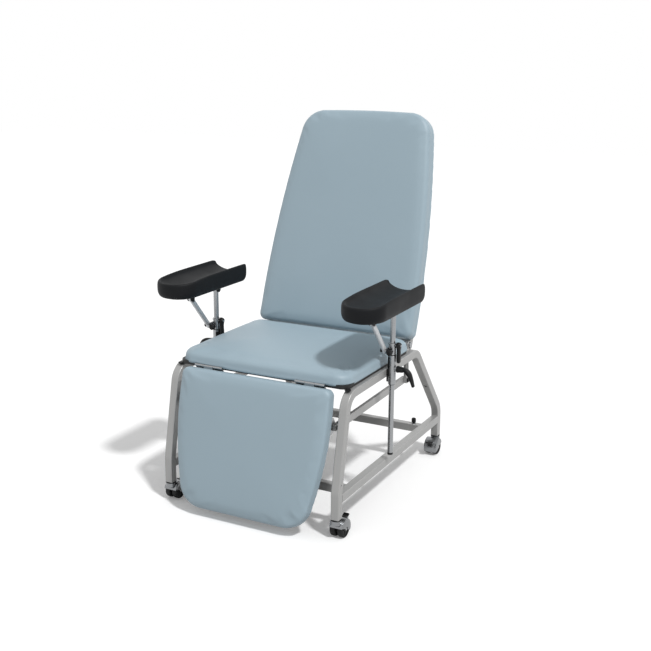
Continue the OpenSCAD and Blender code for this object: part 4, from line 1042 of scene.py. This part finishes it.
@dataclass
class BaseFrame:
    """The welded base: its beads, its bolts and the knobs of the rear cross tube."""

    half_track: float = 280.0
    tube: float = 25.0
    stem_y: float = 375.0
    low_rail_z: float = 118.0
    rail_z: float = 405.0
    cross_tubes: tuple[float, float] = (-302.5, 260.5)
    bar_y: float = -240.0
    bar: float = 20.0
    pivot_y: float = 155.0
    knob_x: float = 246.0
    stop: Point = (277.5, -307.3)
    pivot_weld: Point = (-22.0, 12.0)
    rail_bolt_ys: tuple[float, float, float] = (-225.0, 10.0, 105.0)
    hinge_screw_xs: Point = (160.0, 176.0)
    hinge_screw_y: float = -297.0
    hinge_leaf_z: float = 414.5
    gas_pin: Point = (9.5, -216.0)
    gas_ends: Point = (-206.2, 101.2)
    gas_z: float = 393.2

    def welds(self, shop: Shop) -> None:
        """Lays the beads where the tubes meet."""
        half, edge = self.tube / 2, 3.0
        inner, top = self.half_track - half, self.rail_z + half
        beads = Welds("frame_welds", "frame")
        for s in (side.value for side in Side):
            near, far = s * (inner + edge), s * (self.half_track + half - edge)
            for end in (-1, 1):
                y = end * (self.stem_y - half)
                for up in (-1, 1):
                    z = self.low_rail_z + up * half
                    beads.bead((near, y, z), (far, y, z), (0, 0, up), (0, -end, 0))
            for y in self.cross_tubes:
                for way in (-1, 1):
                    low, high = self.low_rail_z - half + edge, self.low_rail_z + half - edge
                    beads.bead((s * inner, y + way * half, low),
                               (s * inner, y + way * half, high), (0, way, 0), (-s, 0, 0))
            under = top - self.bar
            for way in (-1, 1):
                y = self.bar_y + way * self.bar / 2
                beads.bead((s * inner, y, under + edge), (s * inner, y, top - edge),
                           (0, way, 0), (-s, 0, 0))
            beads.bead((s * inner, self.bar_y - self.bar / 2 + edge, under),
                       (s * inner, self.bar_y + self.bar / 2 - edge, under),
                       (0, 0, -1), (-s, 0, 0))
            fore, aft = (self.pivot_y + away for away in self.pivot_weld)
            beads.bead((s * inner, fore, top), (s * inner, aft, top), (0, 0, 1), (s, 0, 0))
        beads.build(shop)

    def fixings(self, shop: Shop) -> None:
        """Bolts the seat board and the hinges down, and heads the gas spring's front pin."""
        shell = Shell()
        under = self.rail_z - self.tube / 2
        for s in (-1, 1):
            for y in self.rail_bolt_ys:
                BUTTON_BOLT.add(shell, (s * self.half_track, y, under), (0, 0, -1))
            for x in self.hinge_screw_xs:
                WOOD_SCREW.add(shell, (s * x, self.hinge_screw_y, self.hinge_leaf_z),
                               (0, 0, -1))
            PIN_HEAD.add(shell, (s * self.gas_pin[0], self.gas_pin[1], self.gas_z), (s, 0, 0))
        piece = shell.build("seat_fixings", [shop.get(BRIGHT_ZINC)])
        finish_piece(piece, "frame", "zinc_plate")

    def stops(self, shop: Shop) -> None:
        """Makes the rubber stops under the front corners of the seat."""
        shell, top = Shell(), self.rail_z + self.tube / 2
        for s in (-1, 1):
            shell.lathe([(9.0, -0.1), (9.0, 2.0), (7.8, 3.0), (5.6, 4.6), (4.6, 5.8),
                         (2.6, 6.4)], aimed((s * self.stop[0], self.stop[1], top), (0, 0, -1)))
        piece = shell.build("seat_bumpers", [shop.get(TREAD_RUBBER)])
        finish_piece(piece, "frame", "stop_rubber", "seat_stops")

    def gas_collars(self, shop: Shop) -> None:
        """Rolls the ends of the gas spring's cylinder."""
        shell = Shell()
        shell.lathe([(9.0, -0.4), (10.6, 0.0), (11.35, 1.2), (11.4, 5.2), (10.9, 6.4)],
                    aimed((0, self.gas_ends[0], self.gas_z), (0, 1, 0)))
        shell.lathe([(10.9, -9.0), (11.4, -8.0), (11.4, -4.4), (10.9, -3.8), (10.9, -2.8),
                     (11.4, -2.2), (11.3, -0.6), (10.2, 0.4), (6.2, 0.8), (5.3, 0.4)],
                    aimed((0, self.gas_ends[1], self.gas_z), (0, 1, 0)))
        piece = shell.build("gas_spring_collars", [shop.get(BLACK_ENAMEL)])
        finish_piece(piece, "frame", "gas_cylinder_paint")

    def knobs(self, shop: Shop) -> None:
        """Makes the knobs that lock the rear cross tube in its sockets."""
        top = self.low_rail_z + self.tube / 2
        for side in Side:
            shell = Shell()
            place = aimed((side.value * self.knob_x, self.cross_tubes[1], top), (0, 0, 1))
            shell.lathe([(4.0, -5.0), (4.0, 0.3)], place, 1)
            shell.lathe([(6.4, 0.2), (6.9, 0.4), (6.9, 1.4), (6.2, 1.7)], place, 1)
            shell.lathe(knob_rows(7.7, 17.6), place @ Matrix.Translation((0, 0, 1.6)), 0, 48,
                        6, 1.5)
            piece = shell.build(f"cross_tube_grip_{side.word}", [shop.get(NYLON),
                                                                 shop.get(BRIGHT_ZINC)])
            finish_piece(piece, f"knob_{side.word}", "black_plastic",
                         f"cross_tube_knob_{side.word}")

    def build(self, shop: Shop) -> None:
        """Makes the fittings of the base."""
        self.welds(shop)
        self.fixings(shop)
        self.stops(shop)
        self.gas_collars(shop)
        self.knobs(shop)


@dataclass
class Backrest:
    """The tube frame behind the backrest: its beads, bolts and end plugs."""

    face: Point = (141.3, 500.0)
    lean: float = 19.8
    front: float = 58.0
    tube: float = 20.0
    side_x: float = 170.0
    crank_in: float = 250.5
    rows: tuple[float, float, float, float] = (-55.0, 66.0, 320.0, 570.0)
    top: float = 590.0
    bolt_ups: tuple[float, float, float, float] = (130.0, 250.0, 430.0, 550.0)
    row_bolt_x: float = 70.0

    @property
    def up(self) -> Vector:
        """The direction up the backrest."""
        return Vector((0, math.sin(math.radians(self.lean)), math.cos(math.radians(self.lean))))

    @property
    def behind(self) -> Vector:
        """The direction behind the backrest."""
        return Vector((0, math.cos(math.radians(self.lean)), -math.sin(math.radians(self.lean))))

    def at(self, x: float, up: float, behind: float) -> Vector:
        """A point from its distance across, up and behind the backrest's face."""
        return Vector((x, *self.face)) + self.up * up + self.behind * behind

    def welds(self, shop: Shop) -> None:
        """Lays the beads of the frame."""
        near, far = self.front + 3, self.front + self.tube - 3
        half = self.tube / 2
        beads = Welds("backrest_welds", "backrest", 2.4)
        ends = [(self.rows[0] + self.tube, 1), (self.rows[1], -1), (self.rows[1] + self.tube, 1)]
        for s in (-1, 1):
            for row, way in ends:
                for out in (-1, 1):
                    x = s * self.side_x + out * half
                    beads.bead(self.at(x, row, near), self.at(x, row, far), (out, 0, 0),
                               self.up * way)
            inner = s * (self.side_x - half)
            for row in self.rows[2:]:
                for face, way in ((row, -1), (row + self.tube, 1)):
                    if face < self.top:
                        beads.bead(self.at(inner, face, near), self.at(inner, face, far),
                                   self.up * way, (-s, 0, 0))
            for row in self.rows[:2]:
                rear = self.front + self.tube
                beads.bead(self.at(s * self.crank_in, row + 3, rear),
                           self.at(s * self.crank_in, row + self.tube - 3, rear),
                           self.behind, (-s, 0, 0))
                for face, way in ((row, -1), (row + self.tube, 1)):
                    beads.bead(self.at(s * self.crank_in, face, near),
                               self.at(s * self.crank_in, face, far), self.up * way,
                               (-s, 0, 0))
        beads.build(shop)

    def fixings(self, shop: Shop) -> None:
        """Bolts the frame to the board."""
        shell = Shell()
        rear = self.front + self.tube
        spots = [(s * self.side_x, up) for s in (-1, 1) for up in self.bolt_ups]
        spots += [(s * self.row_bolt_x, self.rows[2] + self.tube / 2) for s in (-1, 1)]
        for x, up in spots:
            BUTTON_BOLT.add(shell, self.at(x, up, rear), self.behind)
        piece = shell.build("backrest_bolts", [shop.get(BRIGHT_ZINC)])
        finish_piece(piece, "backrest", "zinc_plate")

    def plugs(self, shop: Shop) -> None:
        """Plugs the upper ends of the upright tubes."""
        shell = Shell()
        for s in (-1, 1):
            place = aimed(self.at(s * self.side_x, self.top, self.front + self.tube / 2),
                          self.up)
            rings = [[Vector((x, y, z)) for x, y in section(size, size, 9.0, 40)]
                     for size, z in ((9.9, -0.2), (9.9, 1.6), (9.4, 2.6), (7.5, 3.1), (3, 3.3))]
            shell.rings(rings, 0, place)
        piece = shell.build("backrest_tube_plugs", [shop.get(NYLON)])
        finish_piece(piece, "backrest", "black_plastic")

    def build(self, shop: Shop) -> None:
        """Makes the fittings of the backrest."""
        self.welds(shop)
        self.fixings(shop)
        self.plugs(shop)


@dataclass
class Legrest:
    """The fixings behind the legrest."""

    face: Point = (-357.0, 427.0)
    lean: float = 13.0
    plate_face: float = 48.0
    leaf_xs: tuple[float, float, float] = (131.0, 168.0, 205.0)
    leaf_downs: Point = (21.0, 36.0)
    bracket_x: float = 222.0
    bracket_downs: tuple[float, float, float] = (90.0, 107.0, 124.0)

    def build(self, shop: Shop) -> None:
        """Screws the hinge leaves and the link brackets to the board."""
        lean = math.radians(self.lean)
        down = Vector((0, -math.sin(lean), -math.cos(lean)))
        behind = Vector((0, math.cos(lean), -math.sin(lean)))
        shell = Shell()
        leaf = [(x, d) for x in self.leaf_xs for d in self.leaf_downs]
        bracket = [(self.bracket_x, d) for d in self.bracket_downs]
        for s in (-1, 1):
            for x, d in leaf + bracket:
                spot = Vector((s * x, *self.face)) + down * d + behind * self.plate_face
                SUNK_SCREW.add(shell, spot, behind)
        piece = shell.build("legrest_screws", [shop.get(BRIGHT_ZINC)])
        finish_piece(piece, "legrest", "zinc_plate")


class End(Enum):
    """The two ends of the base, with where they lie along Y and how their casters turn."""

    FRONT = (-1, 0.0)
    BACK = (1, 180.0)


@dataclass
class Caster:
    """A twin-wheel caster with a pressed hood and a brake pedal."""

    side: Side
    end: End
    half_track: float = 280.0
    stem_y: float = 375.0
    trail: float = 21.0
    wheel_r: float = 25.0
    wheel_w: float = 17.0
    web_half: float = 3.8
    hood_r: float = 29.7
    hood_gap: float = 1.9
    hood_from: float = -27.0
    hood_sweep: float = 184.0
    pedal_r: float = 33.0
    pedal_angle: float = 38.0
    spokes: int = 6

    @property
    def word(self) -> str:
        """The caster's name in the CAD nodes."""
        return f"{self.end.name.lower()}_{self.side.word}"

    @property
    def place(self) -> Matrix:
        """The caster's own axes, with the wheels' axle at the origin and the trail along Y."""
        way, turn = self.end.value
        stem = Matrix.Translation((self.side.value * self.half_track, way * self.stem_y, 0))
        return (stem @ Matrix.Rotation(math.radians(turn), 4, "Z")
                @ Matrix.Translation((0, self.trail, self.wheel_r)))

    def wheels(self, shop: Shop) -> None:
        """Makes both wheels: a rubber tread, a spoked hub and the end of the axle."""
        r, w = self.wheel_r, self.wheel_w
        shell = Shell()
        for s in (-1, 1):
            place = self.place @ aimed((s * self.web_half, 0, 0), (s, 0, 0))
            shell.lathe([(17.0, 0.0), (r - 3, 0.2), (r - 0.9, 1.4), (r, 3.6), (r, w - 3.6),
                         (r - 0.9, w - 1.4), (r - 3, w - 0.2), (r - 4.6, w),
                         (r - 5.0, w - 2.4)], place, 0, 56)
            shell.lathe([(3.2, 0.0), (r - 5.0, 0.3), (r - 5.2, w - 0.8), (r - 6.2, w - 0.6),
                         (r - 6.8, w - 3.0), (8.6, w - 3.4), (8.0, w - 0.6), (6.8, w),
                         (4.4, w)], place, 1, 56)
            shell.lathe([(4.2, w - 0.2), (4.0, w + 0.8), (2.4, w + 1.3)], place, 2, 24)
            for spoke in range(self.spokes):
                a = 2 * math.pi * spoke / self.spokes
                out = Vector((math.cos(a), math.sin(a), 0))
                path = [out * d + Vector((0, 0, w - 2.2)) for d in (8, 10.5, 13, 15.5, 18)]
                shell.sweep(path, [(1.3, 1.5)] * 5, out.cross(Vector((0, 0, 1))), 3.0, 1, place)
        shell.lathe([(3.0, -self.web_half - 1), (3.0, self.web_half + 1)],
                    self.place @ aimed((0, 0, 0), (1, 0, 0)), 2, 20)
        materials = [shop.get(TREAD_RUBBER), shop.get(NYLON), shop.get(BRIGHT_ZINC)]
        finish_piece(shell.build(f"wheel_pair_{self.word}", materials), f"wheels_{self.word}",
                     "caster_tread", f"caster_wheels_{self.word}")

    def hood(self, shop: Shop) -> None:
        """Presses the cover over the wheels: a rounded back with a cheek at each side."""
        r, x = self.hood_r, self.web_half + self.wheel_w + self.hood_gap
        outer = [(x - 0.2, 6.4), (x, 19.0), (x - 0.5, r - 5), (x - 2.4, r - 1.6),
                 (x - 6.5, r)]
        inner = [(x - 7.0, r - 1.5), (x - 3.6, r - 2.7), (x - 1.5, r - 5.4), (x - 1.2, 19.0),
                 (x - 1.3, 6.4)]
        profile = ([(-a, b) for a, b in outer] + [(a, b) for a, b in reversed(outer)]
                   + [(a, b) for a, b in reversed(inner)] + [(-a, b) for a, b in inner])
        rings = []
        for step in range(41):
            a = math.radians(self.hood_from + self.hood_sweep * step / 40)
            rings.append([Vector((across, radius * math.cos(a), radius * math.sin(a)))
                          for across, radius in profile])
        shell = Shell()
        shell.rings(rings, 0, self.place)
        finish_piece(shell.build(f"caster_cover_{self.word}", [shop.get(NICKEL)]),
                     f"caster_{self.word}", "caster_hood_metal")

    def pedal(self, shop: Shop) -> None:
        """Moulds the brake pedal: a barrel and a ribbed tongue that turns up."""
        a = math.radians(self.pedal_angle)
        at = Vector((0, self.pedal_r * math.cos(a), self.pedal_r * math.sin(a)))
        shell = Shell()
        shell.lathe([(2.6, -9.0), (3.2, -8.4), (3.2, 8.4), (2.6, 9.0)],
                    self.place @ aimed(at, (1, 0, 0)), 0, 24)
        path = smooth_path([at, at + Vector((0, 10, -0.6)), at + Vector((0, 18, 5.0))], 12)
        shell.sweep(path, tapered([(0, 8.8, 2.6), (1, 9.0, 1.7)], 12), Vector((1, 0, 0)), 7.0,
                    0, self.place)
        for i in (5, 7, 9, 11):
            top = path[i] + Vector((0, -0.3, 1.9))
            rib = [top + Vector((x, 0, 0)) for x in (-7.4, -3.7, 0, 3.7, 7.4)]
            shell.sweep(rib, [(0.75, 0.75)] * 5, Vector((0, 1, 0)), 2.0, 0, self.place)
        finish_piece(shell.build(f"brake_tongue_{self.word}", [shop.get(NYLON)]),
                     f"pedal_{self.word}", "black_plastic", f"brake_pedal_{self.word}")

    def build(self, shop: Shop) -> None:
        """Makes the caster's pieces."""
        self.wheels(shop)
        self.hood(shop)
        self.pedal(shop)


@dataclass
class Studio:
    """A white floor, one soft lamp, even white light and the camera."""

    camera_at: tuple[float, float, float] = (1444.01, -2708.17, 1299.76)
    yaw: float = 27.2563
    pitch: float = 14.6937
    roll: float = 0.3760
    lens: float = 56.36
    sky: float = 0.52
    lamp: float = 2.03
    lamp_from: tuple[float, float, float] = (0.50, -0.23, 0.84)
    lamp_angle: float = 5.0
    floor_glow: float = 0.12
    floor_white: float = 0.94
    floor_bounce: float = 0.5

    def camera(self) -> None:
        """Sets the camera where the photograph was taken."""
        yaw, pitch, roll = (math.radians(a) for a in (self.yaw, self.pitch, self.roll))
        ahead = Vector((-math.sin(yaw) * math.cos(pitch), math.cos(yaw) * math.cos(pitch),
                        -math.sin(pitch)))
        right = Vector((math.cos(yaw), math.sin(yaw), 0))
        up = right.cross(ahead)
        turned = math.cos(roll) * right + math.sin(roll) * up
        upright = -math.sin(roll) * right + math.cos(roll) * up
        data = bpy.data.cameras.new("camera")
        data.sensor_width, data.lens = 36.0, self.lens
        data.clip_end = 50.0
        camera = bpy.data.objects.new("camera", data)
        bpy.context.scene.collection.objects.link(camera)
        rows = Matrix((turned, upright, -ahead)).transposed().to_4x4()
        camera.matrix_world = Matrix.Translation(Vector(self.camera_at) * MM) @ rows
        bpy.context.scene.camera = camera

    def world(self) -> None:
        """Lights the chair evenly, with a white background where the camera looks."""
        world = bpy.data.worlds.new("even_light")
        world.use_nodes = True
        tree = world.node_tree
        seen = add_node(tree, "ShaderNodeLightPath")
        ways = add_node(tree, "ShaderNodeMath", {
            0: seen.outputs["Is Camera Ray"], 1: seen.outputs["Is Glossy Ray"]},
            operation="MAXIMUM")
        ways = add_node(tree, "ShaderNodeMath", {
            0: ways.outputs["Value"], 1: seen.outputs["Is Transmission Ray"]},
            operation="MAXIMUM")
        strength = add_node(tree, "ShaderNodeMapRange", {
            "Value": ways.outputs["Value"], "To Min": self.sky, "To Max": 1.0})
        tree.links.new(strength.outputs["Result"], tree.nodes["Background"].inputs["Strength"])
        tree.nodes["Background"].inputs["Color"].default_value = (1, 1, 1, 1)
        bpy.context.scene.world = world

    def lights(self) -> None:
        """Hangs the lamp whose shadows the photograph shows."""
        data = bpy.data.lights.new("lamp", "SUN")
        data.energy, data.angle = self.lamp, math.radians(self.lamp_angle)
        lamp = bpy.data.objects.new("lamp", data)
        lamp.rotation_euler = Vector(self.lamp_from).to_track_quat("Z", "Y").to_euler()
        lamp.location = Vector(self.lamp_from) * 4
        bpy.context.scene.collection.objects.link(lamp)

    def floor(self) -> None:
        """Lays the white floor."""
        material = bpy.data.materials.new("white_floor")
        material.use_nodes = True
        shader = material.node_tree.nodes["Principled BSDF"]
        shader.inputs["Roughness"].default_value = 0.9
        shader.inputs["Specular IOR Level"].default_value = 0.0
        tree = material.node_tree
        seen = add_node(tree, "ShaderNodeLightPath")
        glow = add_node(tree, "ShaderNodeMath", {
            0: seen.outputs["Is Camera Ray"], 1: self.floor_glow}, operation="MULTIPLY")
        shade = add_node(tree, "ShaderNodeMapRange", {
            "Value": seen.outputs["Is Diffuse Ray"], "To Min": self.floor_white,
            "To Max": self.floor_bounce})
        tree.links.new(shade.outputs["Result"], shader.inputs["Base Color"])
        shader.inputs["Emission Color"].default_value = (1, 1, 1, 1)
        tree.links.new(glow.outputs["Value"], shader.inputs["Emission Strength"])
        half = 12.0
        mesh = bpy.data.meshes.new("floor")
        mesh.from_pydata([(-half, -half, 0), (half, -half, 0), (half, half, 0),
                          (-half, half, 0)], [], [(0, 1, 2, 3)])
        mesh.materials.append(material)
        floor = bpy.data.objects.new("floor", mesh)
        bpy.context.scene.collection.objects.link(floor)

    def build(self) -> None:
        """Sets up the studio."""
        self.camera()
        self.world()
        self.lights()
        self.floor()
        bpy.context.scene.view_settings.view_transform = "Standard"


def main() -> None:
    """Loads the frame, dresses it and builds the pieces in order."""
    logging.basicConfig(level=logging.INFO, format="%(name)s: %(message)s")
    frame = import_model()
    shop = Shop()
    shop.dress_solids(frame)
    Studio().build()
    Upholstery().build(shop)
    for side in Side:
        Armrest(side).build(shop, frame)
        for end in End:
            Caster(side, end).build(shop)
    BaseFrame().build(shop)
    Backrest().build(shop)
    Legrest().build(shop)


if __name__ == "__main__":
    main()
